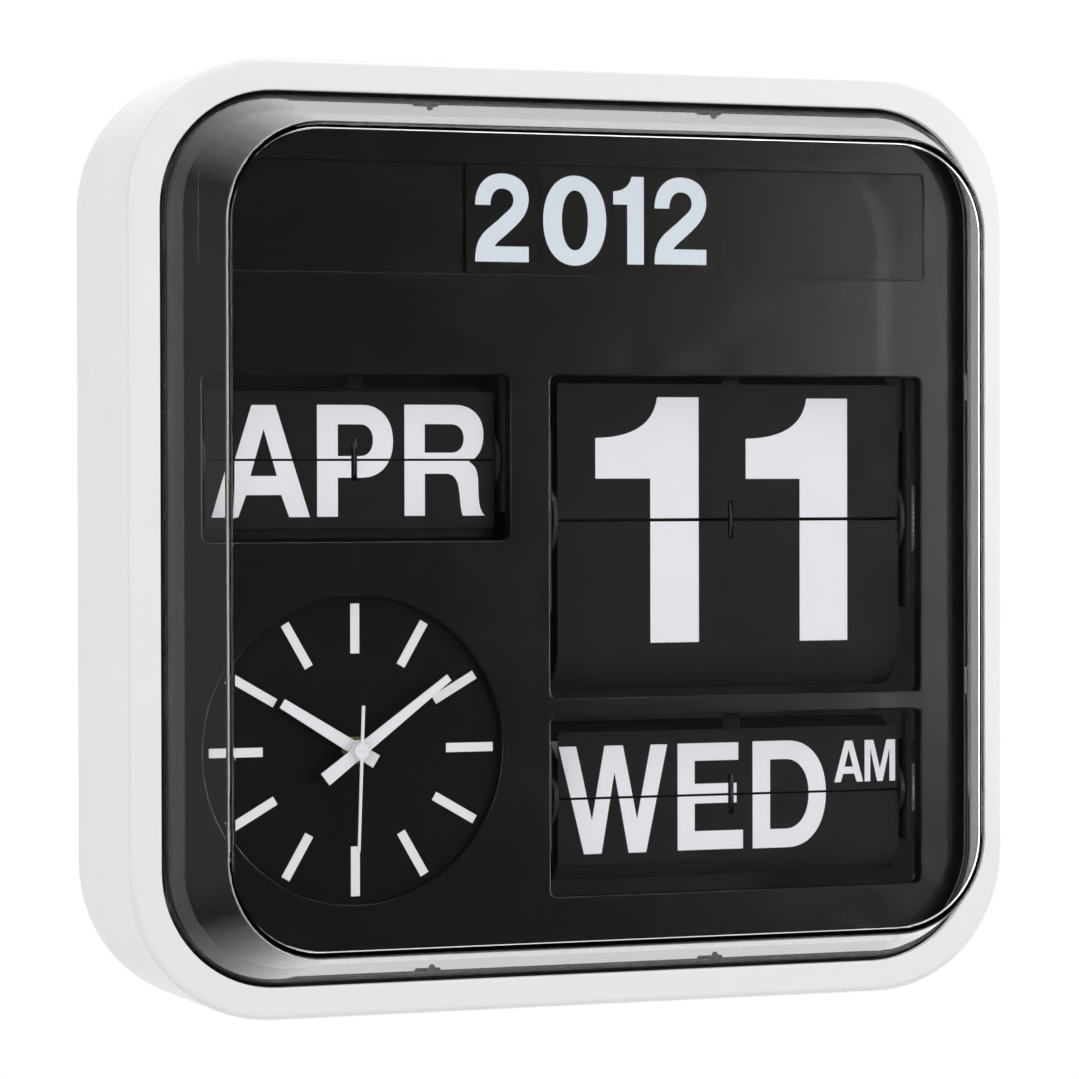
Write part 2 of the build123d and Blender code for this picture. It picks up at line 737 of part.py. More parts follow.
# Quartz movement: case with its threaded bush, rear cover and fixing nut
with BuildPart() as movement_case:
    with BuildSketch(front_plane(cover_front)):
        with Locations((dial_x, dial_z)):
            RectangleRounded(MOVEMENT_SIDE, MOVEMENT_SIDE, MOVEMENT_CORNER)
    extrude(amount=dial_back - cover_front)
    with BuildSketch(front_plane(cover_front)):
        with Locations((dial_x, dial_z)):
            RectangleRounded(movement_inner, movement_inner, MOVEMENT_CORNER - MOVEMENT_WALL)
        with Locations((dial_x, partition_z)):
            Rectangle(movement_inner, MOVEMENT_WALL, mode=Mode.SUBTRACT)
    extrude(amount=inner_front - cover_front, mode=Mode.SUBTRACT)
    with BuildSketch(front_plane(inner_front)):
        with Locations((dial_x, dial_z)):
            Circle(BUSH_RADIUS)
    extrude(amount=face_back + BUSH_REACH - LAYER_GAP - inner_front)
    with BuildSketch(front_plane(inner_front)):
        with Locations((dial_x, dial_z)):
            Circle(HOUR_PIPE + RUNNING_FIT)
    extrude(amount=face_back + BUSH_REACH - inner_front, mode=Mode.SUBTRACT)
    with BuildSketch(front_plane(inner_front)):
        with Locations((dial_x, motion_z)):
            Circle(MOTION_ARBOR + RUNNING_FIT)
    extrude(amount=PIVOT_DEPTH, mode=Mode.SUBTRACT)
save(movement_case, "movement_case")

with BuildPart() as movement_cover:
    with BuildSketch(front_plane(movement_back)):
        with Locations((dial_x, dial_z)):
            RectangleRounded(MOVEMENT_SIDE, MOVEMENT_SIDE, MOVEMENT_CORNER)
        with Locations((dial_x, aa_z)):
            Rectangle(movement_inner, aa_bay_height, mode=Mode.SUBTRACT)
        with Locations((dial_x, motion_z)):
            Circle(KNOB_SHAFT + RUNNING_FIT, mode=Mode.SUBTRACT)
    extrude(amount=MOVEMENT_COVER)
    with BuildSketch(front_plane(cover_front - PIVOT_DEPTH)):
        with Locations((dial_x, dial_z)):
            Circle(SECOND_ARBOR + RUNNING_FIT)
    extrude(amount=PIVOT_DEPTH, mode=Mode.SUBTRACT)
save(movement_cover, "movement_cover")

with BuildPart() as movement_nut:
    with BuildSketch(front_plane(face_back)):
        with Locations((dial_x, dial_z)):
            RegularPolygon(NUT_ACROSS / 2, 6, major_radius=False)
            Circle(BUSH_RADIUS + RUNNING_FIT, mode=Mode.SUBTRACT)
    extrude(amount=NUT_THICK)
save(movement_nut, "movement_nut")

board_x = dial_x - movement_inner / 2 + BOARD_WIDTH / 2 + BOARD_INSET
board_z = motion_z
with BuildPart() as movement_board:
    with BuildSketch(front_plane(inner_front - BOARD_THICK)):
        with Locations((board_x, board_z)):
            Rectangle(BOARD_WIDTH, BOARD_HEIGHT)
    extrude(amount=BOARD_THICK)
save(movement_board, "movement_board")

with BuildPart() as movement_coil:
    with BuildSketch(Plane.XY.offset(board_z - COIL_LENGTH / 2)):
        with Locations((board_x, -(inner_front - BOARD_THICK - COIL_GAP - COIL_RADIUS))):
            Circle(COIL_RADIUS)
    extrude(amount=COIL_LENGTH)
save(movement_coil, "movement_coil")

# Motion work: cannon pinion to motion wheel, motion pinion to hour wheel, one turn in twelve
with BuildPart() as hour_wheel:
    with BuildSketch(front_plane(hour_wheel_back)):
        with Locations((dial_x, dial_z)):
            Polygon(*gear_outline(HOUR_TEETH, hour_module, 90))
    extrude(amount=WHEEL_THICK)
    with BuildSketch(front_plane(hour_wheel_back)):
        with Locations((dial_x, dial_z)):
            Circle(HOUR_PIPE)
    extrude(amount=hour_hand_back + HAND_THICK - hour_wheel_back)
    with BuildSketch(front_plane(hour_wheel_back)):
        with Locations((dial_x, dial_z)):
            Circle(MINUTE_PIPE + RUNNING_FIT)
    extrude(amount=hour_hand_back + HAND_THICK - hour_wheel_back, mode=Mode.SUBTRACT)
save(hour_wheel, "hour_wheel")

with BuildPart() as minute_wheel:
    with BuildSketch(front_plane(centre_back)):
        with Locations((dial_x, dial_z)):
            Polygon(*gear_outline(CENTRE_TEETH, CENTRE_MODULE, 0))
    extrude(amount=WHEEL_THICK)
    with BuildSketch(front_plane(cannon_back)):
        with Locations((dial_x, dial_z)):
            Polygon(*gear_outline(CANNON_TEETH, cannon_module, 90))
    extrude(amount=CANNON_THICK)
    with BuildSketch(front_plane(centre_back)):
        with Locations((dial_x, dial_z)):
            Circle(MINUTE_PIPE)
    extrude(amount=minute_hand_back + HAND_THICK - centre_back)
    with BuildSketch(front_plane(centre_back)):
        with Locations((dial_x, dial_z)):
            Circle(SECOND_ARBOR + RUNNING_FIT)
    extrude(amount=minute_hand_back + HAND_THICK - centre_back, mode=Mode.SUBTRACT)
save(minute_wheel, "minute_wheel")

knob_front = movement_back - KNOB_STANDOFF
knob_back = knob_front - KNOB_THICK
with BuildPart() as motion_wheel:
    with BuildSketch(front_plane(cannon_back)):
        with Locations((dial_x, motion_z)):
            Polygon(*gear_outline(MOTION_TEETH, cannon_module, 270 + 180 / MOTION_TEETH))
    extrude(amount=CANNON_THICK)
    with BuildSketch(front_plane(hour_wheel_back)):
        with Locations((dial_x, motion_z)):
            Polygon(*gear_outline(MOTION_PINION_TEETH, hour_module, 270 + 180 / MOTION_PINION_TEETH))
    extrude(amount=WHEEL_THICK)
    with BuildSketch(front_plane(cannon_back)):
        with Locations((dial_x, motion_z)):
            Circle(MOTION_ARBOR)
    extrude(amount=inner_front + PIVOT_DEPTH - LAYER_GAP / 2 - cannon_back)
    with BuildSketch(front_plane(knob_back + KNOB_THICK / 2)):
        with Locations((dial_x, motion_z)):
            Circle(KNOB_SHAFT)
    extrude(amount=cannon_back - knob_back - KNOB_THICK / 2)
save(motion_wheel, "motion_wheel")

with BuildPart() as time_knob:
    with BuildSketch(front_plane(knob_back)):
        with Locations((dial_x, motion_z)):
            Circle(KNOB_RADIUS)
            with PolarLocations(KNOB_RADIUS, KNOB_FLUTES):
                Circle(FLUTE_RADIUS, mode=Mode.SUBTRACT)
    extrude(amount=KNOB_THICK)
    with BuildSketch(front_plane(knob_back + KNOB_THICK / 2)):
        with Locations((dial_x, motion_z)):
            Circle(KNOB_SHAFT + HAND_FIT)
    extrude(amount=KNOB_THICK / 2, mode=Mode.SUBTRACT)
save(time_knob, "time_knob")

with BuildPart() as second_wheel:
    with BuildSketch(front_plane(second_back)):
        with Locations((dial_x, dial_z)):
            Polygon(*gear_outline(SECOND_TEETH, CENTRE_MODULE, 0))
    extrude(amount=WHEEL_THICK)
    with BuildSketch(front_plane(cover_front - PIVOT_DEPTH + LAYER_GAP / 2)):
        with Locations((dial_x, dial_z)):
            Circle(SECOND_ARBOR)
    extrude(amount=second_hand_back + HAND_THICK - cover_front + PIVOT_DEPTH - LAYER_GAP / 2)
save(second_wheel, "second_wheel")


def hand(sizes, angle, station, bore):
    """One tapered hand on its pipe, turned clockwise from twelve."""
    length, tail, tip_half, tail_half, hub = sizes
    outline = [(-tail_half, -tail), (tail_half, -tail), (tip_half, length), (-tip_half, length)]
    with BuildPart() as blade:
        with BuildSketch(front_plane(station)):
            with Locations(Location((dial_x, dial_z, 0), (0, 0, -angle))):
                Polygon(*outline)
                Circle(hub)
                Circle(bore + HAND_FIT, mode=Mode.SUBTRACT)
        extrude(amount=HAND_THICK)
    return blade


save(hand(HOUR_HAND, HOUR_ANGLE, hour_hand_back, HOUR_PIPE), "hour_hand")
save(hand(MINUTE_HAND, MINUTE_ANGLE, minute_hand_back, MINUTE_PIPE), "minute_hand")
save(hand(SECOND_HAND, SECOND_ANGLE, second_hand_back, SECOND_ARBOR), "second_hand")


def cell(x_start, length, radius, forward, z):
    """One round cell along X with its raised end towards +X, added to the part being built."""
    with BuildSketch(side_plane(x_start)) as can:
        with Locations((-forward, z)):
            Circle(radius)
    extrude(can.sketch, amount=length - NUB_LENGTH)
    with BuildSketch(side_plane(x_start)) as nub:
        with Locations((-forward, z)):
            Circle(radius * NUB_SHARE)
    extrude(nub.sketch, amount=length)


def contact(x_start, forward, z, side):
    """One square contact plate across X, added to the part being built."""
    with BuildSketch(side_plane(x_start)) as plate:
        with Locations((-forward, z)):
            Rectangle(side, side)
    extrude(plate.sketch, amount=CONTACT_THICK)


with BuildPart() as aa_cell:
    cell(dial_x - AA_LENGTH / 2, AA_LENGTH, AA_RADIUS, aa_forward, aa_z)
save(aa_cell, "aa_cell")

# Battery bay for two D cells, between the month unit and the movement well
bay_height = 2 * (D_RADIUS + CELL_PLAY)
bay_length = 2 * (D_LENGTH + CONTACT_THICK + CONTACT_GAP) + CELL_PLAY
bay_x = dial_x
bay_top = axis_z["month"] - month.radius - month.length - BAY_SPACING
bay_z = bay_top - TRAY_WALL - bay_height / 2
bay_forward = COVER_THICK + bay_height / 2
contact_x = bay_x - bay_length / 2
tray_screw_places = [
    (bay_x + side * bay_length / 4, bay_z + rise * (bay_height + 2 * TRAY_WALL + TRAY_FLANGE) / 2)
    for side in (-1, 1)
    for rise in (-1, 1)
]
with BuildPart() as battery_tray:
    with BuildSketch(front_plane(COVER_THICK)):
        with Locations((bay_x, bay_z)):
            Rectangle(bay_length + 2 * TRAY_WALL, bay_height + 2 * (TRAY_WALL + TRAY_FLANGE))
        with Locations(*tray_screw_places):
            Circle(SCREW_RADIUS + SCREW_PLAY, mode=Mode.SUBTRACT)
    extrude(amount=TRAY_WALL)
    with BuildSketch(front_plane(COVER_THICK)):
        with Locations((bay_x, bay_z)):
            Rectangle(bay_length + 2 * TRAY_WALL, bay_height + 2 * TRAY_WALL)
    extrude(amount=bay_height + TRAY_WALL)
    with BuildSketch(front_plane(COVER_THICK)):
        with Locations((bay_x, bay_z)):
            Rectangle(bay_length, bay_height)
    extrude(amount=bay_height, mode=Mode.SUBTRACT)
save(battery_tray, "battery_tray")

with BuildPart() as d_cells:
    for start in (bay_x - D_LENGTH - CELL_PLAY / 2, bay_x + CELL_PLAY / 2):
        cell(start, D_LENGTH, D_RADIUS, bay_forward, bay_z)
save(d_cells, "d_cells")

with BuildPart() as battery_contacts:
    contact(contact_x, bay_forward, bay_z, 2 * CONTACT_SIDE)
    contact(contact_x + bay_length - CONTACT_THICK, bay_forward, bay_z, 2 * CONTACT_SIDE)
    aa_contact_x = dial_x - movement_inner / 2
    contact(aa_contact_x, aa_forward, aa_z, CONTACT_SIDE)
    contact(dial_x + movement_inner / 2 - CONTACT_THICK, aa_forward, aa_z, CONTACT_SIDE)
save(battery_contacts, "battery_contacts")

# Battery door, hung on two pins at its lower edge
door_opening_width = bay_length + 2 * DOOR_LEDGE
door_opening_height = bay_height + 2 * DOOR_LEDGE
door_width = door_opening_width - 2 * DOOR_GAP
hinge_forward = COVER_THICK / 2
hinge_z = bay_z - door_opening_height / 2 + BARREL_RADIUS + BARREL_CLEARANCE
door_top = bay_z + door_opening_height / 2 - DOOR_GAP
door_back = COVER_THICK - CELL_PLAY - DOOR_THICK
with BuildPart() as battery_door:
    with BuildSketch(front_plane(door_back)):
        with Locations((bay_x, (hinge_z + door_top) / 2)):
            Rectangle(door_width, door_top - hinge_z)
    extrude(amount=DOOR_THICK)
    with BuildSketch(side_plane(bay_x - door_width / 2)):
        with Locations((-hinge_forward, hinge_z)):
            Circle(BARREL_RADIUS)
    extrude(amount=door_width)
    with BuildSketch(side_plane(bay_x - door_width / 2 - DOOR_PIN_LENGTH)):
        with Locations((-hinge_forward, hinge_z)):
            Circle(DOOR_PIN_RADIUS)
    extrude(amount=door_width + 2 * DOOR_PIN_LENGTH)
    with BuildSketch(front_plane(door_back)):
        with Locations((bay_x, door_top - GRIP_PITCH * (GRIP_COUNT + 1) / 2)):
            with GridLocations(0, GRIP_PITCH, 1, GRIP_COUNT):
                Rectangle(*GRIP_SIZE)
    extrude(amount=GRIP_DEPTH, mode=Mode.SUBTRACT)
save(battery_door, "battery_door")

# Rear cover with the movement well, the hanger window, the button holes and the board posts
control_z = year_z - CONTROL_DROP
button_places = [(CONTROL_X + index * BUTTON_PITCH, control_z) for index in (-1, 0, 1)]
button_front = BUTTON_SET + BUTTON_LENGTH
switch_back = button_front + BUTTON_TRAVEL + CELL_PLAY
board_back = switch_back + SWITCH_HEIGHT
board_reach = (CONTROL_WIDTH / 2 - POST_RADIUS, CONTROL_HEIGHT / 2 - POST_RADIUS)
board_screw_places = [
    (CONTROL_X + side * board_reach[0], control_z + rise * board_reach[1])
    for side in (-1, 1)
    for rise in (-1, 1)
]
hanger_reach = HANGER_SIDE / 2 - SCREW_HEAD - SCREW_PLAY
hanger_screw_places = [
    (side * hanger_reach, year_z + rise * hanger_reach) for side in (-1, 1) for rise in (-1, 1)
]
well_side = MOVEMENT_SIDE + 2 * WELL_MARGIN
well_front = movement_back - WELL_GAP
with BuildPart() as rear_cover:
    with BuildSketch(front_plane(0)):
        RectangleRounded(
            inner_width - 2 * COVER_FIT, inner_height - 2 * COVER_FIT, CASE_CORNER - CASE_WALL - COVER_FIT
        )
    extrude(amount=COVER_THICK)
    with BuildSketch(front_plane(COVER_THICK)):
        with Locations((dial_x, dial_z)):
            RectangleRounded(well_side + 2 * WELL_WALL, well_side + 2 * WELL_WALL, WELL_CORNER + WELL_WALL)
    extrude(amount=well_front - COVER_THICK)
    with BuildSketch(front_plane(0)):
        with Locations((dial_x, dial_z)):
            RectangleRounded(well_side, well_side, WELL_CORNER)
    extrude(amount=well_front, mode=Mode.SUBTRACT)
    with BuildSketch(front_plane(COVER_THICK)):
        with Locations(*board_screw_places):
            Circle(POST_RADIUS)
    extrude(amount=board_back - COVER_THICK)
    with BuildSketch(front_plane(0)):
        with Locations((bay_x, bay_z)):
            Rectangle(door_opening_width, door_opening_height)
        with Locations((0, year_z)):
            RectangleRounded(*HANGER_WINDOW, HANGER_CORNER)
        with Locations(*button_places):
            Circle(BUTTON_RADIUS + BUTTON_FIT)
        with Locations(*cover_places):
            Circle(SCREW_RADIUS + SCREW_PLAY)
    extrude(amount=COVER_THICK, mode=Mode.SUBTRACT)
    with BuildSketch(front_plane(0)):
        with Locations(*cover_places):
            Circle(SCREW_HEAD + SCREW_PLAY)
    extrude(amount=SCREW_SINK + SCREW_HEAD_HEIGHT, mode=Mode.SUBTRACT)
    with BuildSketch(side_plane(bay_x - door_opening_width / 2 - DOOR_PIN_LENGTH)):
        with Locations((-hinge_forward, hinge_z)):
            Circle(DOOR_PIN_RADIUS + RUNNING_FIT)
    extrude(amount=door_opening_width + 2 * DOOR_PIN_LENGTH, mode=Mode.SUBTRACT)
    tiny_hole = TINY_SCREW_LENGTH - TRAY_WALL + PILOT_SPARE / 2
    pilot(tray_screw_places, COVER_THICK - tiny_hole, tiny_hole)
    pilot(hanger_screw_places, COVER_THICK - tiny_hole, tiny_hole)
    pilot(board_screw_places, board_back - SCREW_LENGTH, SCREW_LENGTH)
save(rear_cover, "rear_cover")

# Hanging plate with its keyhole: a round entry below a narrower slot
with BuildPart() as hanger_plate:
    with BuildSketch(front_plane(COVER_THICK)):
        with Locations((0, year_z)):
            RectangleRounded(HANGER_SIDE, HANGER_SIDE, HANGER_CORNER)
        keyhole_z = year_z - KEYHOLE_RISE / 2
        with Locations((0, keyhole_z)):
            Circle(KEYHOLE_RADIUS, mode=Mode.SUBTRACT)
        with Locations((0, keyhole_z + KEYHOLE_RISE / 2)):
            Rectangle(KEYHOLE_SLOT, KEYHOLE_RISE, mode=Mode.SUBTRACT)
        with Locations((0, keyhole_z + KEYHOLE_RISE)):
            Circle(KEYHOLE_SLOT / 2, mode=Mode.SUBTRACT)
        with Locations(*hanger_screw_places):
            Circle(SCREW_RADIUS + SCREW_PLAY, mode=Mode.SUBTRACT)
    extrude(amount=HANGER_THICK)
save(hanger_plate, "hanger_plate")

# Control board, its three switches and the setting buttons in front of them
with BuildPart() as control_board:
    with BuildSketch(front_plane(board_back)):
        with Locations((CONTROL_X, control_z)):
            Rectangle(CONTROL_WIDTH, CONTROL_HEIGHT)
        with Locations(*board_screw_places):
            Circle(SCREW_RADIUS + SCREW_PLAY, mode=Mode.SUBTRACT)
    extrude(amount=CONTROL_THICK)
save(control_board, "control_board")

with BuildPart() as button_switches:
    with BuildSketch(front_plane(switch_back)):
        with Locations(*button_places):
            Rectangle(SWITCH_SIDE, SWITCH_SIDE)
    extrude(amount=SWITCH_HEIGHT)
save(button_switches, "button_switches")

for unit, place in zip(units, button_places):
    with BuildPart() as button:
        with BuildSketch(front_plane(BUTTON_SET)):
            with Locations(place):
                Circle(BUTTON_RADIUS)
        extrude(amount=BUTTON_LENGTH)
        with BuildSketch(front_plane(COVER_THICK + BUTTON_FIT)):
            with Locations(place):
                Circle(BUTTON_RADIUS + BUTTON_FLANGE)
        extrude(amount=BUTTON_FLANGE_THICK)
    save(button, f"{unit.name}_button")

# Flip units
for unit in units:
    x_mid = centre_x[unit.name]
    axis_v = axis_z[unit.name]
    axis = (-unit.axis_forward, axis_v)

    # One flap, upright on its hinge line at the origin
    with BuildPart() as flap:
        with BuildSketch(Plane.XZ):
            with Locations((0, (unit.length - unit.tail) / 2)):
                Rectangle(unit.width, unit.length + unit.tail)
            with Locations((-(unit.width + TAB_LENGTH) / 2, 0), ((unit.width + TAB_LENGTH) / 2, 0)):
                Rectangle(TAB_LENGTH, TAB_HEIGHT)
            with Locations((0, (NOTCH_DEPTH - unit.tail) / 2)):
                Rectangle(NOTCH_WIDTH, NOTCH_DEPTH + unit.tail, mode=Mode.SUBTRACT)
        extrude(amount=FLAP_THICK / 2, both=True)
        fillet(flap.edges().filter_by(Axis.Y).group_by(Axis.Z)[-1], FLAP_CORNER)

    flap_places = []
    for index in range(unit.flaps):
        angle = math.radians(unit.step * (index + 0.5))
        pin_y = -unit.axis_forward - unit.radius * math.cos(angle)
        pin_z = axis_v + unit.radius * math.sin(angle)
        flap_places.append(Location((x_mid, pin_y, pin_z), (-unit.lean(index), 0, 0)))

    with BuildPart() as front_flap:
        with Locations(flap_places[0]):
            add(flap.part)
    save(front_flap, f"{unit.name}_front_flap")

    with BuildPart() as flap_stack:
        with Locations(*flap_places[1:]):
            add(flap.part)
    save(flap_stack, f"{unit.name}_flaps")

    # Drum: two end discs with a hole for every flap tab, a thin centre disc and the shaft
    shaft_idle = unit.plate_outer
    shaft_drive = unit.gear_inner + GEAR_FACE
    shaft_left = shaft_idle if unit.drive > 0 else shaft_drive
    tab_hole = math.hypot(TAB_HEIGHT, FLAP_THICK) / 2 + TAB_PLAY
    with BuildPart() as drum:
        for disc_x in (x_mid - unit.disc_inner - DISC_THICK, x_mid + unit.disc_inner):
            with BuildSketch(side_plane(disc_x)):
                with Locations(axis):
                    Circle(unit.radius + DISC_RIM)
                    with PolarLocations(unit.radius, unit.flaps, start_angle=180 - unit.step / 2):
                        Circle(tab_hole, mode=Mode.SUBTRACT)
            extrude(amount=DISC_THICK)
        with BuildSketch(side_plane(x_mid - CENTRE_DISC_THICK / 2)):
            with Locations(axis):
                Circle(unit.radius + CENTRE_DISC_RISE)
        extrude(amount=CENTRE_DISC_THICK)
        with BuildSketch(side_plane(x_mid - shaft_left)):
            with Locations(axis):
                Circle(SHAFT_RADIUS)
        extrude(amount=shaft_idle + shaft_drive)
    save(drum, f"{unit.name}_drum")

    # Drive gear on the shaft and the motor pinion behind it
    gear_x = x_mid + unit.drive * unit.gear_inner
    pinion_axis = (axis[0] + unit.gear_distance, axis_v)
    with BuildPart() as drive_gear:
        with BuildSketch(side_plane(gear_x)):
            with Locations(axis):
                Polygon(*gear_outline(unit.gear_teeth, unit.gear_module, 0))
                Circle(SHAFT_RADIUS + RUNNING_FIT, mode=Mode.SUBTRACT)
        extrude(amount=unit.drive * GEAR_FACE)
    save(drive_gear, f"{unit.name}_drive_gear")

    bracket_x = x_mid + unit.drive * unit.bracket_inner
    motor_x = bracket_x + unit.drive * BRACKET_THICK
    with BuildPart() as pinion:
        with BuildSketch(side_plane(gear_x)):
            with Locations(pinion_axis):
                Polygon(*gear_outline(PINION_TEETH, unit.gear_module, 180 + 180 / PINION_TEETH))
        extrude(amount=unit.drive * GEAR_FACE)
        with BuildSketch(side_plane(gear_x)):
            with Locations(pinion_axis):
                Circle(MOTOR_SHAFT_RADIUS)
        extrude(amount=motor_x - gear_x + unit.drive * (MOTOR_SHAFT_DEPTH - LAYER_GAP))
    save(pinion, f"{unit.name}_pinion")

    # Frame: side plates, rear wall, top bar, fixing lugs and the motor bracket
    frame_back = unit.axis_forward - unit.rear_reach() - FRAME_REAR_GAP - FRAME_THICK
    bar_front = flap_plane + BAR_FRONT_GAP
    bar_bottom = axis_v + unit.length + BAR_RISE
    arm_height = bar_bottom + BAR_HEIGHT - axis_v
    with BuildPart() as frame:
        for plate_x in (x_mid - unit.plate_outer, x_mid + unit.plate_inner):
            with BuildSketch(side_plane(plate_x)):
                with Locations((-(frame_back + lug_front) / 2, axis_v)):
                    Rectangle(lug_front - frame_back, 2 * unit.plate_half)
                with Locations((-bar_front + BAR_DEPTH / 2, axis_v + arm_height / 2)):
                    Rectangle(BAR_DEPTH, arm_height)
                with Locations(axis):
                    Circle(SHAFT_RADIUS + RUNNING_FIT, mode=Mode.SUBTRACT)
            extrude(amount=FRAME_THICK)
        with BuildSketch(front_plane(frame_back)):
            with Locations((x_mid, axis_v)):
                Rectangle(2 * unit.plate_outer, 2 * unit.plate_half)
        extrude(amount=FRAME_THICK)
        with BuildSketch(front_plane(bar_front - BAR_DEPTH)):
            with Locations((x_mid, bar_bottom + BAR_HEIGHT / 2)):
                Rectangle(2 * unit.plate_outer, BAR_HEIGHT)
        extrude(amount=BAR_DEPTH)
        with BuildSketch(front_plane(lug_back)):
            for side in (-1, 1):
                for rise in (-1, 1):
                    lug_x = x_mid + side * (unit.plate_inner + (LUG_LENGTH + FRAME_THICK) / 2)
                    with Locations((lug_x, axis_v + rise * unit.lug_rise)):
                        Rectangle(LUG_LENGTH + FRAME_THICK, LUG_HEIGHT)
            with Locations(*frame_fixings(unit)):
                Circle(SCREW_RADIUS + SCREW_PLAY, mode=Mode.SUBTRACT)
        extrude(amount=LUG_THICK)
        with BuildSketch(side_plane(bracket_x)):
            with Locations(pinion_axis):
                Rectangle(BRACKET_WIDTH, 2 * (PILLAR_OFFSET + PILLAR_RADIUS))
                Circle(MOTOR_BOSS_RADIUS + BOSS_FIT, mode=Mode.SUBTRACT)
        extrude(amount=unit.drive * BRACKET_THICK)
        with BuildSketch(side_plane(x_mid + unit.drive * unit.plate_inner)):
            with Locations(pinion_axis):
                with Locations((0, -PILLAR_OFFSET), (0, PILLAR_OFFSET)):
                    Circle(PILLAR_RADIUS)
        extrude(amount=unit.drive * (unit.bracket_inner - unit.plate_inner))
    save(frame, f"{unit.name}_frame")

with BuildPart() as flap_stops:
    for unit in units:
        stop_back = flap_plane + BAR_FRONT_GAP
        stop_tip = axis_z[unit.name] + unit.pin_rise + unit.length + STOP_GAP
        stop_top = axis_z[unit.name] + unit.length + BAR_RISE + BAR_HEIGHT
        with BuildSketch(front_plane(stop_back)):
            with Locations((centre_x[unit.name], (stop_tip + stop_top) / 2)):
                Rectangle(STOP_WIDTH, stop_top - stop_tip)
        extrude(amount=STOP_THICK)
        with BuildSketch(front_plane(flap_plane)):
            with Locations((centre_x[unit.name], stop_tip + STOP_THICK / 2)):
                Rectangle(STOP_WIDTH, STOP_THICK)
        extrude(amount=stop_back - flap_plane)
save(flap_stops, "flap_stops")

with BuildPart() as flip_motors:
    for unit in units:
        motor_x = centre_x[unit.name] + unit.drive * (unit.bracket_inner + BRACKET_THICK)
        motor_axis = (unit.gear_distance - unit.axis_forward, axis_z[unit.name])
        with BuildSketch(side_plane(motor_x)):
            with Locations(motor_axis):
                Circle(MOTOR_RADIUS)
        extrude(amount=unit.drive * MOTOR_LENGTH)
        with BuildSketch(side_plane(motor_x - unit.drive * BRACKET_THICK)):
            with Locations(motor_axis):
                Circle(MOTOR_BOSS_RADIUS)
        extrude(amount=unit.drive * BRACKET_THICK)
        with BuildSketch(side_plane(motor_x - unit.drive * BRACKET_THICK)):
            with Locations(motor_axis):
                Circle(MOTOR_SHAFT_RADIUS + RUNNING_FIT)
        extrude(amount=unit.drive * (BRACKET_THICK + MOTOR_SHAFT_DEPTH), mode=Mode.SUBTRACT)
save(flip_motors, "flip_motors")

# Screws, grouped by what they hold
save(screws(cover_places, SCREW_SINK + SCREW_HEAD_HEIGHT, SCREW_LENGTH), "cover_screws")
with BuildPart() as face_screws:
    add(screws(ear_places, face_back, SCREW_LENGTH).part)
    add(screws(dial_screw_places, dial_back, SHORT_SCREW_LENGTH).part)
save(face_screws, "face_screws")
frame_screw_places = [place for unit in units for place in frame_fixings(unit)]
save(screws(frame_screw_places, lug_back, SCREW_LENGTH), "frame_screws")
with BuildPart() as small_screws:
    add(screws(tray_screw_places, COVER_THICK + TRAY_WALL, TINY_SCREW_LENGTH, -1).part)
    add(screws(hanger_screw_places, COVER_THICK + HANGER_THICK, TINY_SCREW_LENGTH, -1).part)
    add(screws(board_screw_places, board_back + CONTROL_THICK, SCREW_LENGTH, -1).part)
save(small_screws, "small_screws")
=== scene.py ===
"""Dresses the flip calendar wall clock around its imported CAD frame.

The clock's back lies in the wall plane and it faces -Y, with +X to the viewer's right and +Z up.
Sizes of the clock are in millimetres, with depth counted forwards from the wall.
Sizes of the studio and depths of surface detail are in metres.
"""

import json
import logging
import math
from dataclasses import dataclass
from enum import Enum
from typing import Any, Optional

import bmesh
import bpy
from mathutils import Matrix, Vector

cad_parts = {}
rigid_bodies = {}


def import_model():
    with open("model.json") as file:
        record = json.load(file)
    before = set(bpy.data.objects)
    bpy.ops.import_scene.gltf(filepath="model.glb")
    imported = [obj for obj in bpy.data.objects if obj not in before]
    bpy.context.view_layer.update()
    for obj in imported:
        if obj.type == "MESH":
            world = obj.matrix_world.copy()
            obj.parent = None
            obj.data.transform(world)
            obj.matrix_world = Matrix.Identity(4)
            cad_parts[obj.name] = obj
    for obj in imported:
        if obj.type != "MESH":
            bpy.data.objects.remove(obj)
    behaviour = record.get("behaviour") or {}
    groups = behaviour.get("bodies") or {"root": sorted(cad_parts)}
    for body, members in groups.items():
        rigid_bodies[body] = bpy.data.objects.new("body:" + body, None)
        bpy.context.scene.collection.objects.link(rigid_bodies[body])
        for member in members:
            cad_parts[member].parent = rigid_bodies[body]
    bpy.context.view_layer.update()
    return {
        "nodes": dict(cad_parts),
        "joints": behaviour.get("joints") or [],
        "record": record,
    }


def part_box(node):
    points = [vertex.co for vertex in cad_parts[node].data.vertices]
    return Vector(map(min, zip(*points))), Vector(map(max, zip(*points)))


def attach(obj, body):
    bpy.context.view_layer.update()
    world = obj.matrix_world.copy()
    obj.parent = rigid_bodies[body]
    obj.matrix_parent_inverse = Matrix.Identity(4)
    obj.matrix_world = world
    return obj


for start_up_object in list(bpy.data.objects):
    bpy.data.objects.remove(start_up_object)
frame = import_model()

LOG = logging.getLogger("clock")
MM = 0.001

Colour = tuple[float, float, float]
Point = tuple[float, float]
Node = bpy.types.Node
Socket = bpy.types.NodeSocket
Sockets = tuple[Socket, Socket]


# Node wiring


def grey(level: float) -> tuple[float, float, float, float]:
    """Returns an opaque grey as node sockets take it."""
    return level, level, level, 1.0


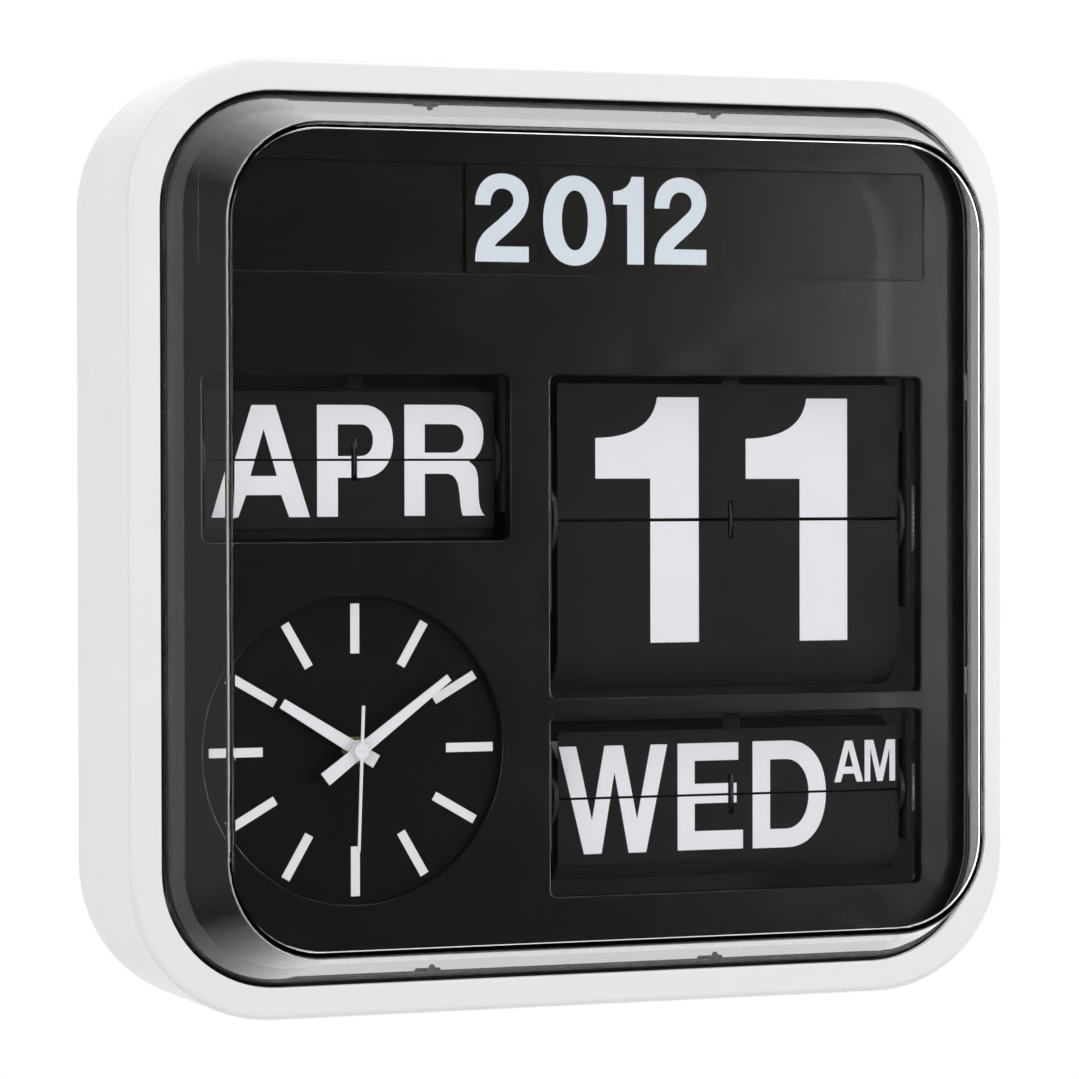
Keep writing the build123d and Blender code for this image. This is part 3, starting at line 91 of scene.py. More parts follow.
class Wiring:
    """Adds nodes to one node tree and links them."""

    def __init__(self, tree: bpy.types.NodeTree) -> None:
        """Takes the tree over and clears it."""
        self.tree = tree
        tree.nodes.clear()

    def add(self, kind: str, values: Optional[dict[str, Any]] = None, **settings: Any) -> Node:
        """Adds a node.

        Args:
            kind: the node's type name.
            values: constants for its input sockets, by socket name.
            settings: attributes of the node itself.

        Returns:
            The new node.
        """
        node = self.tree.nodes.new(kind)
        for key, setting in settings.items():
            setattr(node, key, setting)
        for key, value in (values or {}).items():
            node.inputs[key].default_value = value
        return node

    def link(self, source: Socket, target: Socket) -> None:
        """Links one socket to another."""
        self.tree.links.new(source, target)

    def feed(self, term: Any, target: Socket) -> None:
        """Gives a socket its value.

        Args:
            term: another socket, which is linked, or a number, which is set.
            target: the socket that takes it.
        """
        if isinstance(term, Socket):
            self.link(term, target)
        else:
            target.default_value = term

    def math(self, operation: str, *terms: Any) -> Socket:
        """Adds a Math node.

        Args:
            operation: the node's operation.
            terms: its inputs, each a socket or a number.

        Returns:
            The node's output socket.
        """
        node = self.add("ShaderNodeMath", operation=operation)
        for term, socket in zip(terms, node.inputs):
            self.feed(term, socket)
        return node.outputs[0]

    def blend(self, factor: Socket, low: Any, high: Any) -> Socket:
        """Blends two values.

        Args:
            factor: the share of high, from 0 to 1.
            low: the value at 0, a socket or a number.
            high: the value at 1, a socket or a number.

        Returns:
            The result's socket.
        """
        node = self.add("ShaderNodeMix", data_type="FLOAT")
        self.link(factor, node.inputs[0])
        for term, socket in zip((low, high), node.inputs[2:4]):
            self.feed(term, socket)
        return node.outputs[0]

    def ramp(self, factor: Socket, low: Colour, high: Colour) -> Socket:
        """Adds a colour ramp.

        Args:
            factor: the mask that runs along it, from 0 to 1.
            low: the colour at 0.
            high: the colour at 1.

        Returns:
            The ramp's colour socket.
        """
        node = self.add("ShaderNodeValToRGB")
        node.color_ramp.elements[0].color = (*low, 1.0)
        node.color_ramp.elements[1].color = (*high, 1.0)
        self.link(factor, node.inputs["Fac"])
        return node.outputs["Color"]

    def span(self, mask: Socket, low: float, high: float) -> Socket:
        """Maps a mask onto a range of values.

        Args:
            mask: the mask, from 0 to 1.
            low: the value at 0.
            high: the value at 1.

        Returns:
            The result's socket.
        """
        node = self.add("ShaderNodeMapRange", {"To Min": low, "To Max": high})
        self.link(mask, node.inputs["Value"])
        return node.outputs["Result"]

    def effect(self, effect: "Effect", place: Socket, scale: float) -> Node:
        """Places a shared surface effect.

        Args:
            effect: which effect.
            place: the coordinates that it follows.
            scale: its repeats per metre.

        Returns:
            The group's node.
        """
        node = self.add("ShaderNodeGroup", node_tree=effect.tree())
        node.inputs["Scale"].default_value = scale
        self.link(place, node.inputs["Place"])
        return node


class Effect(Enum):
    """A surface effect that several finishes share, each a shader node group that is built once."""

    GRAIN = "moulded_grain"
    SMUDGE = "handling_smudge"
    BRUSH = "brushed_lines"

    def tree(self) -> bpy.types.NodeTree:
        """Finds the effect's node group, and builds it the first time.

        Returns:
            The node group.
        """
        found = bpy.data.node_groups.get(self.value)
        if found is not None:
            return found
        group = bpy.data.node_groups.new(self.value, "ShaderNodeTree")
        group.interface.new_socket("Place", in_out="INPUT", socket_type="NodeSocketVector")
        group.interface.new_socket("Scale", in_out="INPUT", socket_type="NodeSocketFloat")
        group.interface.new_socket("Height", in_out="OUTPUT", socket_type="NodeSocketFloat")
        group.interface.new_socket("Mask", in_out="OUTPUT", socket_type="NodeSocketFloat")
        wiring = Wiring(group)
        entry = wiring.add("NodeGroupInput")
        leave = wiring.add("NodeGroupOutput")
        height, mask = EFFECT_BUILDERS[self](wiring, entry.outputs["Place"], entry.outputs["Scale"])
        wiring.link(height, leave.inputs["Height"])
        wiring.link(mask, leave.inputs["Mask"])
        return group


def noise(wiring: Wiring, place: Socket, scale: Socket, detail: float, swirl: float = 0.0) -> Socket:
    """Adds a noise texture.

    Args:
        wiring: the tree that it joins.
        place: its coordinates.
        scale: its repeats per metre.
        detail: its octaves.
        swirl: how far it is distorted.

    Returns:
        The noise's value socket.
    """
    node = wiring.add("ShaderNodeTexNoise", {"Detail": detail, "Distortion": swirl})
    wiring.link(place, node.inputs["Vector"])
    wiring.link(scale, node.inputs["Scale"])
    return node.outputs["Fac"]


# Shares of fine noise and slow drift in the moulded grain, and the drift's repeats as a share of the grain's
GRAIN_FINE_HEIGHT = 0.6
GRAIN_FINE_TONE = 0.3
GRAIN_DRIFT_TONE = 0.7
GRAIN_DRIFT_SCALE = 0.01


def grain_effect(wiring: Wiring, place: Socket, scale: Socket) -> Sockets:
    """Builds the fine pebbled skin of a textured mould, with a slow drift of tone as its mask.

    Args:
        wiring: the group's tree.
        place: the coordinates that it follows.
        scale: its repeats per metre.

    Returns:
        The sockets of the height and of the mask.
    """
    cells = wiring.add("ShaderNodeTexVoronoi", feature="SMOOTH_F1")
    wiring.link(place, cells.inputs["Vector"])
    wiring.link(scale, cells.inputs["Scale"])
    fine = noise(wiring, place, scale, detail=3.0)
    height = wiring.math("MULTIPLY_ADD", fine, GRAIN_FINE_HEIGHT, cells.outputs["Distance"])
    drift = noise(wiring, place, wiring.math("MULTIPLY", scale, GRAIN_DRIFT_SCALE), detail=2.0)
    slow_tone = wiring.math("MULTIPLY", drift, GRAIN_DRIFT_TONE)
    return height, wiring.math("MULTIPLY_ADD", fine, GRAIN_FINE_TONE, slow_tone)


# Where in the noise a smudge begins and is full, and the ripples' repeats as a share of the smudges'
SMUDGE_EDGES = {"From Min": 0.46, "From Max": 0.72}
SMUDGE_RIPPLE_SCALE = 0.5


def smudge_effect(wiring: Wiring, place: Socket, scale: Socket) -> Sockets:
    """Builds soft swirled blotches, as wiping and handling leave them, with faint ripples as the height.

    Args:
        wiring: the group's tree.
        place: the coordinates that it follows.
        scale: its repeats per metre.

    Returns:
        The sockets of the height and of the mask.
    """
    cloud = noise(wiring, place, scale, detail=5.0, swirl=1.6)
    sharp = wiring.add("ShaderNodeMapRange", SMUDGE_EDGES, interpolation_type="SMOOTHSTEP")
    wiring.link(cloud, sharp.inputs["Value"])
    ripple = noise(wiring, place, wiring.math("MULTIPLY", scale, SMUDGE_RIPPLE_SCALE), detail=0.0)
    return ripple, sharp.outputs["Result"]


# The drawn lines' repeats along each axis and the dull patches' repeats, both as a share, and how they mix
BRUSH_STRETCH = (0.04, 1.0, 1.0)
BRUSH_PATCH_SCALE = 0.06
BRUSH_SHARE = 0.5


def brush_effect(wiring: Wiring, place: Socket, scale: Socket) -> Sockets:
    """Builds fine drawn lines along X, as rolling and plating leave them on sheet metal.

    Args:
        wiring: the group's tree.
        place: the coordinates that it follows.
        scale: its repeats per metre.

    Returns:
        The sockets of the height and of the mask.
    """
    stretch = wiring.add("ShaderNodeMapping", {"Scale": BRUSH_STRETCH})
    wiring.link(place, stretch.inputs["Vector"])
    lines = noise(wiring, stretch.outputs["Vector"], scale, detail=4.0)
    patches = noise(wiring, place, wiring.math("MULTIPLY", scale, BRUSH_PATCH_SCALE), detail=3.0)
    patch_share = wiring.math("MULTIPLY", patches, BRUSH_SHARE)
    return lines, wiring.math("MULTIPLY_ADD", lines, BRUSH_SHARE, patch_share)


EFFECT_BUILDERS = {
    Effect.GRAIN: grain_effect,
    Effect.SMUDGE: smudge_effect,
    Effect.BRUSH: brush_effect,
}


# Finishes


@dataclass(frozen=True)
class Surface:
    """The nodes that every material starts with, and the ways that finishes feed them.

    Attributes:
        wiring: the material's tree.
        place: the piece's Object coordinates.
        shader: the Principled shader.
        output: the material's output node.
    """

    wiring: Wiring
    place: Socket
    shader: Node
    output: Node

    def effect(self, effect: Effect, scale: float) -> Node:
        """Returns the node of a shared effect that follows the piece, at so many repeats per metre."""
        return self.wiring.effect(effect, self.place, scale)

    def paint(self, mask: Socket, low: Colour, high: Colour) -> None:
        """Runs the base colour from low to high along a mask."""
        self.wiring.link(self.wiring.ramp(mask, low, high), self.shader.inputs["Base Color"])

    def roughen(self, mask: Socket, low: float, high: float) -> None:
        """Runs the roughness from low to high along a mask."""
        self.wiring.link(self.wiring.span(mask, low, high), self.shader.inputs["Roughness"])

    def settle(self, values: dict[str, Any]) -> None:
        """Sets those of the shader's own sockets that are the same all over."""
        for name, value in values.items():
            self.shader.inputs[name].default_value = value

    def bump(self, height: Socket, depth: float) -> None:
        """Raises the surface by a height.

        Args:
            height: the height's socket, from 0 to 1.
            depth: the depth that 1 stands for.
        """
        node = self.wiring.add("ShaderNodeBump", {"Strength": 1.0, "Distance": depth})
        self.wiring.link(height, node.inputs["Height"])
        self.wiring.link(node.outputs["Normal"], self.shader.inputs["Normal"])


@dataclass(frozen=True)
class Finish:
    """One surface finish. Subclasses wire what makes their surface differ."""

    name: str

    def material(self) -> bpy.types.Material:
        """Finds the finish's material, and builds it the first time.

        Returns:
            The material.
        """
        found = bpy.data.materials.get(self.name)
        if found is not None:
            return found
        material = bpy.data.materials.new(self.name)
        material.use_nodes = True
        wiring = Wiring(material.node_tree)
        place = wiring.add("ShaderNodeTexCoord").outputs["Object"]
        shader = wiring.add("ShaderNodeBsdfPrincipled")
        output = wiring.add("ShaderNodeOutputMaterial")
        wiring.link(shader.outputs["BSDF"], output.inputs["Surface"])
        self.wire(Surface(wiring, place, shader, output))
        return material

    def wire(self, surface: Surface) -> None:
        """Wires the finish into a material's surface."""
        raise NotImplementedError


@dataclass(frozen=True)
class Moulded(Finish):
    """A moulded or painted plastic skin with fine grain, a drift of tone and faint handling marks.

    Attributes:
        deep: the darker end of its colour.
        light: the lighter end.
        clean: the roughness of the clean skin.
        handled: the roughness of a smudge.
        grain: the grain's repeats per metre.
        depth: the grain's depth.
        coat: the weight of its clear coat.
        sheen: its specular level.
        coat_roughness: the clear coat's roughness.
        smudges: the smudges' repeats per metre.
    """

    deep: Colour
    light: Colour
    clean: float
    handled: float
    grain: float
    depth: float
    coat: float = 0.0
    sheen: float = 0.5
    coat_roughness: float = 0.08
    smudges: float = 22.0

    def wire(self, surface: Surface) -> None:
        """Wires grain into the height and tone, and smudges into the roughness.

        Args:
            surface: the material's nodes.
        """
        grain = surface.effect(Effect.GRAIN, self.grain)
        smudge = surface.effect(Effect.SMUDGE, self.smudges)
        surface.paint(grain.outputs["Mask"], self.deep, self.light)
        surface.roughen(smudge.outputs["Mask"], self.clean, self.handled)
        surface.settle({"Specular IOR Level": self.sheen, "Coat Weight": self.coat,
                        "Coat Roughness": self.coat_roughness})
        surface.bump(grain.outputs["Height"], self.depth)


@dataclass(frozen=True)
class ClearAcrylic(Finish):
    """Clear polished acrylic, which lets soft light and shadows straight through.

    Attributes:
        tint: the colour of light that has passed through.
        polish: the roughness where it is clean.
        wiped: the roughness of a wiping mark.
        refraction: its refractive index.
        smudges: the wiping marks' repeats per metre.
    """

    tint: Colour
    polish: float
    wiped: float
    refraction: float = 1.49
    smudges: float = 16.0

    def wire(self, surface: Surface) -> None:
        """Wires wiping marks into the roughness, and clears the way for light to what is behind.

        Args:
            surface: the material's nodes.
        """
        wiring = surface.wiring
        smudge = surface.effect(Effect.SMUDGE, self.smudges)
        surface.settle({"Base Color": (*self.tint, 1.0), "Transmission Weight": 1.0, "IOR": self.refraction})
        surface.roughen(smudge.outputs["Mask"], self.polish, self.wiped)
        path = wiring.add("ShaderNodeLightPath")
        clear = wiring.add("ShaderNodeBsdfTransparent")
        either = wiring.math("MAXIMUM", path.outputs["Is Shadow Ray"], path.outputs["Is Diffuse Ray"])
        choose = wiring.add("ShaderNodeMixShader")
        wiring.link(either, choose.inputs["Fac"])
        wiring.link(surface.shader.outputs["BSDF"], choose.inputs[1])
        wiring.link(clear.outputs["BSDF"], choose.inputs[2])
        wiring.link(choose.outputs["Shader"], surface.output.inputs["Surface"])


@dataclass(frozen=True)
class Metal(Finish):
    """Bare or plated metal with drawn lines and patches of duller skin.

    Attributes:
        deep: the darker end of its colour.
        light: the lighter end.
        bright: the roughness of bright skin.
        dull: the roughness of dull skin.
        lines: the drawn lines' repeats per metre.
        line_depth: the lines' depth.
    """

    deep: Colour
    light: Colour
    bright: float
    dull: float
    lines: float
    line_depth: float = 4e-6

    def wire(self, surface: Surface) -> None:
        """Wires the drawn lines into colour, roughness and height.

        Args:
            surface: the material's nodes.
        """
        brush = surface.effect(Effect.BRUSH, self.lines)
        surface.paint(brush.outputs["Mask"], self.deep, self.light)
        surface.roughen(brush.outputs["Mask"], self.bright, self.dull)
        surface.settle({"Metallic": 1.0})
        surface.bump(brush.outputs["Height"], self.line_depth)


@dataclass(frozen=True)
class CellSleeve(Finish):
    """The shrunk sleeve of a dry cell: a dark body with a lighter band at one end.

    Attributes:
        body: the body's colour.
        band: the band's colour.
        pitch: the length of one cell, in metres.
        band_start: the share of that length where the band begins.
        gloss: the roughness where it is smooth.
        rubbed: the roughness where it is rubbed.
        foil: how metallic it is.
        wrinkles: the wrinkles' repeats per metre.
        wrinkle_depth: the wrinkles' depth.
    """

    body: Colour
    band: Colour
    pitch: float
    band_start: float = 0.74
    gloss: float = 0.28
    rubbed: float = 0.42
    foil: float = 0.6
    wrinkles: float = 60.0
    wrinkle_depth: float = 6e-5

    def wire(self, surface: Surface) -> None:
        """Wires the bands along X, and wrinkles into the height.

        Args:
            surface: the material's nodes.
        """
        wiring = surface.wiring
        axes = wiring.add("ShaderNodeSeparateXYZ")
        wiring.link(surface.place, axes.inputs["Vector"])
        along = wiring.math("FRACT", wiring.math("DIVIDE", axes.outputs["X"], self.pitch))
        surface.paint(wiring.math("GREATER_THAN", along, self.band_start), self.body, self.band)
        smudge = surface.effect(Effect.SMUDGE, self.wrinkles)
        surface.roughen(smudge.outputs["Mask"], self.gloss, self.rubbed)
        surface.settle({"Metallic": self.foil})
        surface.bump(smudge.outputs["Height"], self.wrinkle_depth)


@dataclass(frozen=True)
class CircuitBoard(Finish):
    """Solder mask with tracks that show through it as a lighter green.

    Attributes:
        mask: the colour of the bare board.
        track: the colour over a track.
        tracks: the tracks' repeats per metre.
        track_width: a track's width, as a share of one repeat.
        track_run: a track's length in repeats.
        fill: how strongly the copper fills between tracks show.
        gloss: the roughness where it is clean.
        rubbed: the roughness where it is rubbed.
        smudges: the smudges' repeats per metre.
        track_depth: how far a track stands up.
    """

    mask: Colour
    track: Colour
    tracks: float = 260.0
    track_width: float = 0.1
    track_run: float = 1.3
    fill: float = 0.2
    gloss: float = 0.25
    rubbed: float = 0.4
    smudges: float = 80.0
    track_depth: float = 3e-5

    def wire(self, surface: Surface) -> None:
        """Wires a brick pattern as the tracks, in colour and height.

        Args:
            surface: the material's nodes.
        """
        wiring = surface.wiring
        turn = wiring.add("ShaderNodeMapping", {"Rotation": (math.radians(90), 0.0, 0.0)})
        wiring.link(surface.place, turn.inputs["Vector"])
        tracks = wiring.add("ShaderNodeTexBrick", {
            "Scale": self.tracks, "Mortar Size": self.track_width, "Brick Width": self.track_run,
            "Color1": grey(0.0), "Color2": grey(self.fill), "Mortar": grey(1.0)})
        wiring.link(turn.outputs["Vector"], tracks.inputs["Vector"])
        surface.paint(tracks.outputs["Color"], self.mask, self.track)
        smudge = surface.effect(Effect.SMUDGE, self.smudges)
        surface.roughen(smudge.outputs["Mask"], self.gloss, self.rubbed)
        surface.bump(tracks.outputs["Color"], self.track_depth)


@dataclass(frozen=True)
class WoundWire(Finish):
    """Turns of enamelled wire laid side by side along X, with painted shade in the hollows between them.

    Attributes:
        painted_gap_shade: the colour between two turns, painted shade in the hollow between them.
        crown: the colour on a turn.
        turns: the scale of the turns.
        waver: how far the turns waver.
        gloss: the roughness where it is clean.
        rubbed: the roughness where it is rubbed.
        metal: how metallic it is.
        smudges: the smudges' repeats per metre.
        turn_depth: how far a turn stands up.
    """

    # The colour between two turns is painted shade in the hollow there, not a colour of the wire.
    painted_gap_shade: Colour
    crown: Colour
    turns: float
    waver: float = 0.4
    gloss: float = 0.22
    rubbed: float = 0.38
    metal: float = 0.9
    smudges: float = 80.0
    turn_depth: float = 6e-5

    def wire(self, surface: Surface) -> None:
        """Wires the turns into colour, with painted shade in the hollows between them, and into height.

        Args:
            surface: the material's nodes.
        """
        turns = surface.wiring.add("ShaderNodeTexWave", {"Scale": self.turns, "Distortion": self.waver},
                                   wave_type="BANDS", bands_direction="X")
        surface.wiring.link(surface.place, turns.inputs["Vector"])
        # Painted shade: the colour darkens from the crown of each turn into the hollow beside it.
        surface.paint(turns.outputs["Fac"], self.painted_gap_shade, self.crown)
        smudge = surface.effect(Effect.SMUDGE, self.smudges)
        surface.roughen(smudge.outputs["Mask"], self.gloss, self.rubbed)
        surface.settle({"Metallic": self.metal})
        surface.bump(turns.outputs["Fac"], self.turn_depth)


@dataclass(frozen=True)
class FloorPaint(Finish):
    """Pale matt paint that thins out to nothing at the rim of a round floor.

    Attributes:
        deep: the colour of a blotch.
        light: the colour beside it.
        radius: the floor's radius, in metres.
        fade_start: the share of the radius where the paint begins to thin out.
        roughness: the paint's roughness.
        blotches: the blotches' repeats per metre.
    """

    deep: Colour
    light: Colour
    radius: float
    fade_start: float = 0.5
    roughness: float = 0.8
    blotches: float = 3.0

    def wire(self, surface: Surface) -> None:
        """Wires faint blotches into the colour, and the fade into the alpha.

        Args:
            surface: the material's nodes.
        """
        wiring = surface.wiring
        smudge = surface.effect(Effect.SMUDGE, self.blotches)
        surface.paint(smudge.outputs["Mask"], self.light, self.deep)
        surface.settle({"Roughness": self.roughness})
        level_place = wiring.add("ShaderNodeVectorMath", operation="MULTIPLY")
        level_place.inputs[1].default_value = (1.0, 1.0, 0.0)
        wiring.link(surface.place, level_place.inputs[0])
        reach = wiring.add("ShaderNodeVectorMath", operation="LENGTH")
        wiring.link(level_place.outputs["Vector"], reach.inputs[0])
        fade = wiring.add("ShaderNodeMapRange", {
            "From Min": self.fade_start * self.radius, "From Max": self.radius,
            "To Min": 1.0, "To Max": 0.0}, interpolation_type="SMOOTHSTEP")
        wiring.link(reach.outputs["Value"], fade.inputs["Value"])
        wiring.link(fade.outputs["Result"], surface.shader.inputs["Alpha"])


PRINT_INK = Moulded("screen_printed_white", deep=(0.78, 0.79, 0.84), light=(0.84, 0.85, 0.90),
                    clean=0.42, handled=0.52, grain=3200.0, depth=2e-6)
YEAR_INK = Moulded("year_white", deep=(0.66, 0.71, 0.77), light=(0.71, 0.77, 0.83),
                   clean=0.42, handled=0.52, grain=3200.0, depth=2e-6)

SLOT_FINISHES: dict[str, Finish] = {
    "case_white": Moulded("satin_white_moulding", deep=(0.79, 0.79, 0.795), light=(0.82, 0.82, 0.82),
                          clean=0.34, handled=0.42, grain=2400.0, depth=5e-6, coat=0.15),
    "lens_clear": ClearAcrylic("clear_polished_acrylic", tint=(0.985, 0.99, 0.99), polish=0.0, wiped=0.004),
    "face_black": Moulded("satin_black_moulding", deep=(0.0035, 0.0035, 0.004), light=(0.006, 0.006, 0.0065),
                          clean=0.20, handled=0.23, grain=2600.0, depth=1e-6),
    "frame_black": Moulded("grained_black_moulding", deep=(0.012, 0.012, 0.013), light=(0.024, 0.024, 0.026),
                           clean=0.42, handled=0.55, grain=2200.0, depth=1.2e-5),
    "flap_black": Moulded("matt_black_sheet", deep=(0.006, 0.006, 0.007), light=(0.010, 0.010, 0.011),
                          clean=0.46, handled=0.56, grain=3000.0, depth=3e-6, sheen=0.16),
    "tile_black": Moulded("satin_black_tile", deep=(0.0035, 0.0035, 0.004), light=(0.006, 0.006, 0.0065),
                          clean=0.21, handled=0.25, grain=2800.0, depth=1e-6, sheen=0.4),
    "dial_black": Moulded("matt_black_paint", deep=(0.004, 0.004, 0.005), light=(0.007, 0.007, 0.008),
                          clean=0.50, handled=0.60, grain=3400.0, depth=4e-6, sheen=0.07),
    "mark_white": Moulded("matt_white_paint", deep=(0.76, 0.76, 0.78), light=(0.82, 0.82, 0.84),
                          clean=0.42, handled=0.52, grain=3200.0, depth=3e-6),
    "hand_white": Moulded("satin_white_paint", deep=(0.76, 0.76, 0.79), light=(0.82, 0.82, 0.85),
                          clean=0.32, handled=0.44, grain=3200.0, depth=2e-6),
    "gear_white": Moulded("natural_acetal", deep=(0.72, 0.70, 0.63), light=(0.80, 0.79, 0.73),
                          clean=0.34, handled=0.46, grain=1800.0, depth=4e-6),
    "steel": Metal("zinc_plated_steel", deep=(0.46, 0.46, 0.48), light=(0.66, 0.66, 0.68),
                   bright=0.24, dull=0.42, lines=1500.0),
    "spring_black": Metal("blackened_spring_steel", deep=(0.008, 0.008, 0.009), light=(0.020, 0.020, 0.022),
                          bright=0.34, dull=0.48, lines=1500.0),
    "motor_can": Metal("drawn_steel_can", deep=(0.42, 0.42, 0.43), light=(0.60, 0.60, 0.61),
                       bright=0.28, dull=0.44, lines=900.0),
    "brass": Metal("turned_brass", deep=(0.56, 0.40, 0.15), light=(0.76, 0.58, 0.27),
                   bright=0.20, dull=0.34, lines=2400.0),
    "cover_grey": Moulded("grained_dark_grey_moulding",
                          deep=(0.032, 0.032, 0.035), light=(0.056, 0.056, 0.060),
                          clean=0.46, handled=0.58, grain=1500.0, depth=2.2e-5),
    "control_grey": Moulded("satin_grey_button", deep=(0.30, 0.31, 0.32), light=(0.38, 0.39, 0.40),
                            clean=0.36, handled=0.48, grain=2200.0, depth=6e-6),
    "knob_black": Moulded("satin_black_knob", deep=(0.018, 0.018, 0.018), light=(0.034, 0.034, 0.034),
                          clean=0.34, handled=0.46, grain=2200.0, depth=6e-6),
    "board_green": CircuitBoard("solder_mask_green", mask=(0.02, 0.13, 0.06), track=(0.06, 0.26, 0.13)),
    "coil_copper": WoundWire("enamelled_copper", painted_gap_shade=(0.20, 0.07, 0.02), crown=(0.72, 0.36, 0.15),
                             turns=900.0),
    "cell_foil": CellSleeve("plain_cell_sleeve", body=(0.035, 0.04, 0.055), band=(0.62, 0.47, 0.24),
                            pitch=0.0615),
}


@dataclass(frozen=True)
class CadPieces:
    """The clock's CAD pieces, each in the finish of its material slot.

    Attributes:
        finishes: the finish of each slot.
        unmirrored: the pieces that reflections leave out. The polished lens walls mirror the dark
            studio, and not the white rim beside them.
    """

    finishes: dict[str, Finish]
    unmirrored: tuple[str, ...] = ("case_shell",)

    def dress(self) -> None:
        """Gives every piece its finish."""
        for subpart in frame["record"]["subparts"]:
            node = subpart["node"]
            finish = self.finishes[subpart["material_slot"]]
            mesh = frame["nodes"][node].data
            mesh.materials.clear()
            mesh.materials.append(finish.material())
            LOG.info("%s takes %s", node, finish.name)
        for node in self.unmirrored:
            frame["nodes"][node].visible_glossy = False


# The letters


class Bend(Enum):
    """How the outline arrives at a corner of a letter from the corner before it."""

    FLAT_FIRST = "leaves level and arrives upright"
    STEEP_FIRST = "leaves upright and arrives level"


@dataclass(frozen=True)
class Corner:
    """A corner of a letter's outline, in a box one wide and one high.

    The line that arrives here is straight, a quarter bend, or a curve with two pull points.
    """

    x: float
    y: float
    bend: Optional[Bend] = None
    pulls: Optional[tuple[Point, Point]] = None


Outline = tuple[Corner, ...]

# How far along the way to its square corner a quarter bend's pull points lie. An ellipse has 0.55.
FULLNESS = 0.60


def straight(*points: Point) -> Outline:
    """Returns an outline of straight lines through the points."""
    return tuple(Corner(x, y) for x, y in points)


def level(x: float, y: float) -> Corner:
    """Returns a corner that a quarter bend reaches upright, having left level."""
    return Corner(x, y, Bend.FLAT_FIRST)


def steep(x: float, y: float) -> Corner:
    """Returns a corner that a quarter bend reaches level, having left upright."""
    return Corner(x, y, Bend.STEEP_FIRST)


def swept(first: Point, second: Point, end: Point) -> Corner:
    """Returns a corner at end that a curve reaches, pulled towards first and then second."""
    return Corner(*end, pulls=(first, second))


def oval(left: float, bottom: float, right: float, top: float) -> Outline:
    """Returns a full round outline that touches the four sides."""
    across, up = (left + right) / 2, (bottom + top) / 2
    return (steep(across, top), level(right, up), steep(across, bottom), level(left, up))


def bowl(left: float, bottom: float, turn: float, right: float, top: float) -> Outline:
    """Draws a closed counter, flat on the left and round on the right.

    Args:
        left: its left side.
        bottom: its lower side.
        turn: where its round end begins.
        right: its right side.
        top: its upper side.

    Returns:
        The outline.
    """
    middle = (bottom + top) / 2
    return (Corner(left, top), Corner(left, bottom), Corner(turn, bottom),
            level(right, middle), steep(turn, top))


GLYPHS: dict[str, tuple[Outline, ...]] = {
    "A": (straight((0, 0), (0.37, 1), (0.63, 1), (1, 0), (0.776, 0), (0.69, 0.198), (0.31, 0.198),
                   (0.224, 0)),
          straight((0.356, 0.368), (0.5, 0.786), (0.644, 0.368))),
    "P": ((Corner(0, 0), Corner(0, 1), Corner(0.60, 1), level(1, 0.675), steep(0.60, 0.349),
           Corner(0.272, 0.349), Corner(0.272, 0)),
          bowl(0.272, 0.542, 0.57, 0.735, 0.826)),
    "R": ((Corner(0, 0), Corner(0, 1), Corner(0.63, 1), level(0.985, 0.735),
           swept((0.985, 0.60), (0.91, 0.515), (0.80, 0.487)),
           swept((0.885, 0.455), (0.915, 0.40), (0.918, 0.30)),
           swept((0.921, 0.14), (0.925, 0.05), (1.0, 0.0)),
           Corner(0.725, 0.0),
           swept((0.69, 0.06), (0.70, 0.13), (0.676, 0.237)),
           swept((0.66, 0.34), (0.60, 0.379), (0.51, 0.379)),
           Corner(0.252, 0.379), Corner(0.252, 0)),
          bowl(0.252, 0.568, 0.58, 0.738, 0.826)),
    "W": (straight((0, 1), (0.159, 1), (0.303, 0.31), (0.419, 1), (0.589, 1), (0.719, 0.31), (0.846, 1),
                   (1, 1), (0.8025, 0), (0.641, 0), (0.511, 0.753), (0.391, 0), (0.23, 0)),),
    "E": (straight((0, 0), (0, 1), (0.93, 1), (0.93, 0.835), (0.26, 0.835), (0.26, 0.619), (0.903, 0.619),
                   (0.903, 0.435), (0.26, 0.435), (0.26, 0.176), (1, 0.176), (1, 0)),),
    "D": ((Corner(0, 0), Corner(0, 1), Corner(0.48, 1), level(1, 0.505), steep(0.48, 0)),
          bowl(0.237, 0.175, 0.45, 0.763, 0.827)),
    "M": (straight((0, 0), (0, 1), (0.285, 1), (0.5, 0.30), (0.715, 1), (1, 1), (1, 0), (0.815, 0),
                   (0.815, 0.80), (0.59, 0), (0.41, 0), (0.185, 0.80), (0.185, 0)),),
    "Y": (straight((0, 1), (0.26, 1), (0.5, 0.585), (0.74, 1), (1, 1), (0.615, 0.385), (0.615, 0),
                   (0.385, 0), (0.385, 0.385)),),
    "1": ((Corner(0, 0.669), Corner(0, 0.8335), swept((0.33, 0.836), (0.56, 0.88), (0.597, 1)),
           Corner(1, 1), Corner(1, 0), Corner(0.529, 0), Corner(0.529, 0.669)),),
    "slim 1": ((Corner(0, 0.68), Corner(0, 0.83), swept((0.35, 0.835), (0.55, 0.90), (0.60, 1)),
                Corner(1, 1), Corner(1, 0), Corner(0.46, 0), Corner(0.46, 0.68)),),
    "2": ((Corner(0, 0.64), steep(0.5, 1), level(1, 0.715),
           swept((1, 0.56), (0.86, 0.47), (0.68, 0.365)),
           swept((0.52, 0.27), (0.42, 0.235), (0.36, 0.175)),
           Corner(1, 0.175), Corner(1, 0), Corner(0, 0),
           swept((0, 0.17), (0.06, 0.255), (0.16, 0.325)),
           swept((0.24, 0.385), (0.40, 0.45), (0.50, 0.515)),
           swept((0.62, 0.585), (0.716, 0.62), (0.716, 0.70)), steep(0.5, 0.83), level(0.284, 0.64)),),
    "0": (oval(0, 0, 1, 1), oval(0.295, 0.17, 0.71, 0.835)),
}


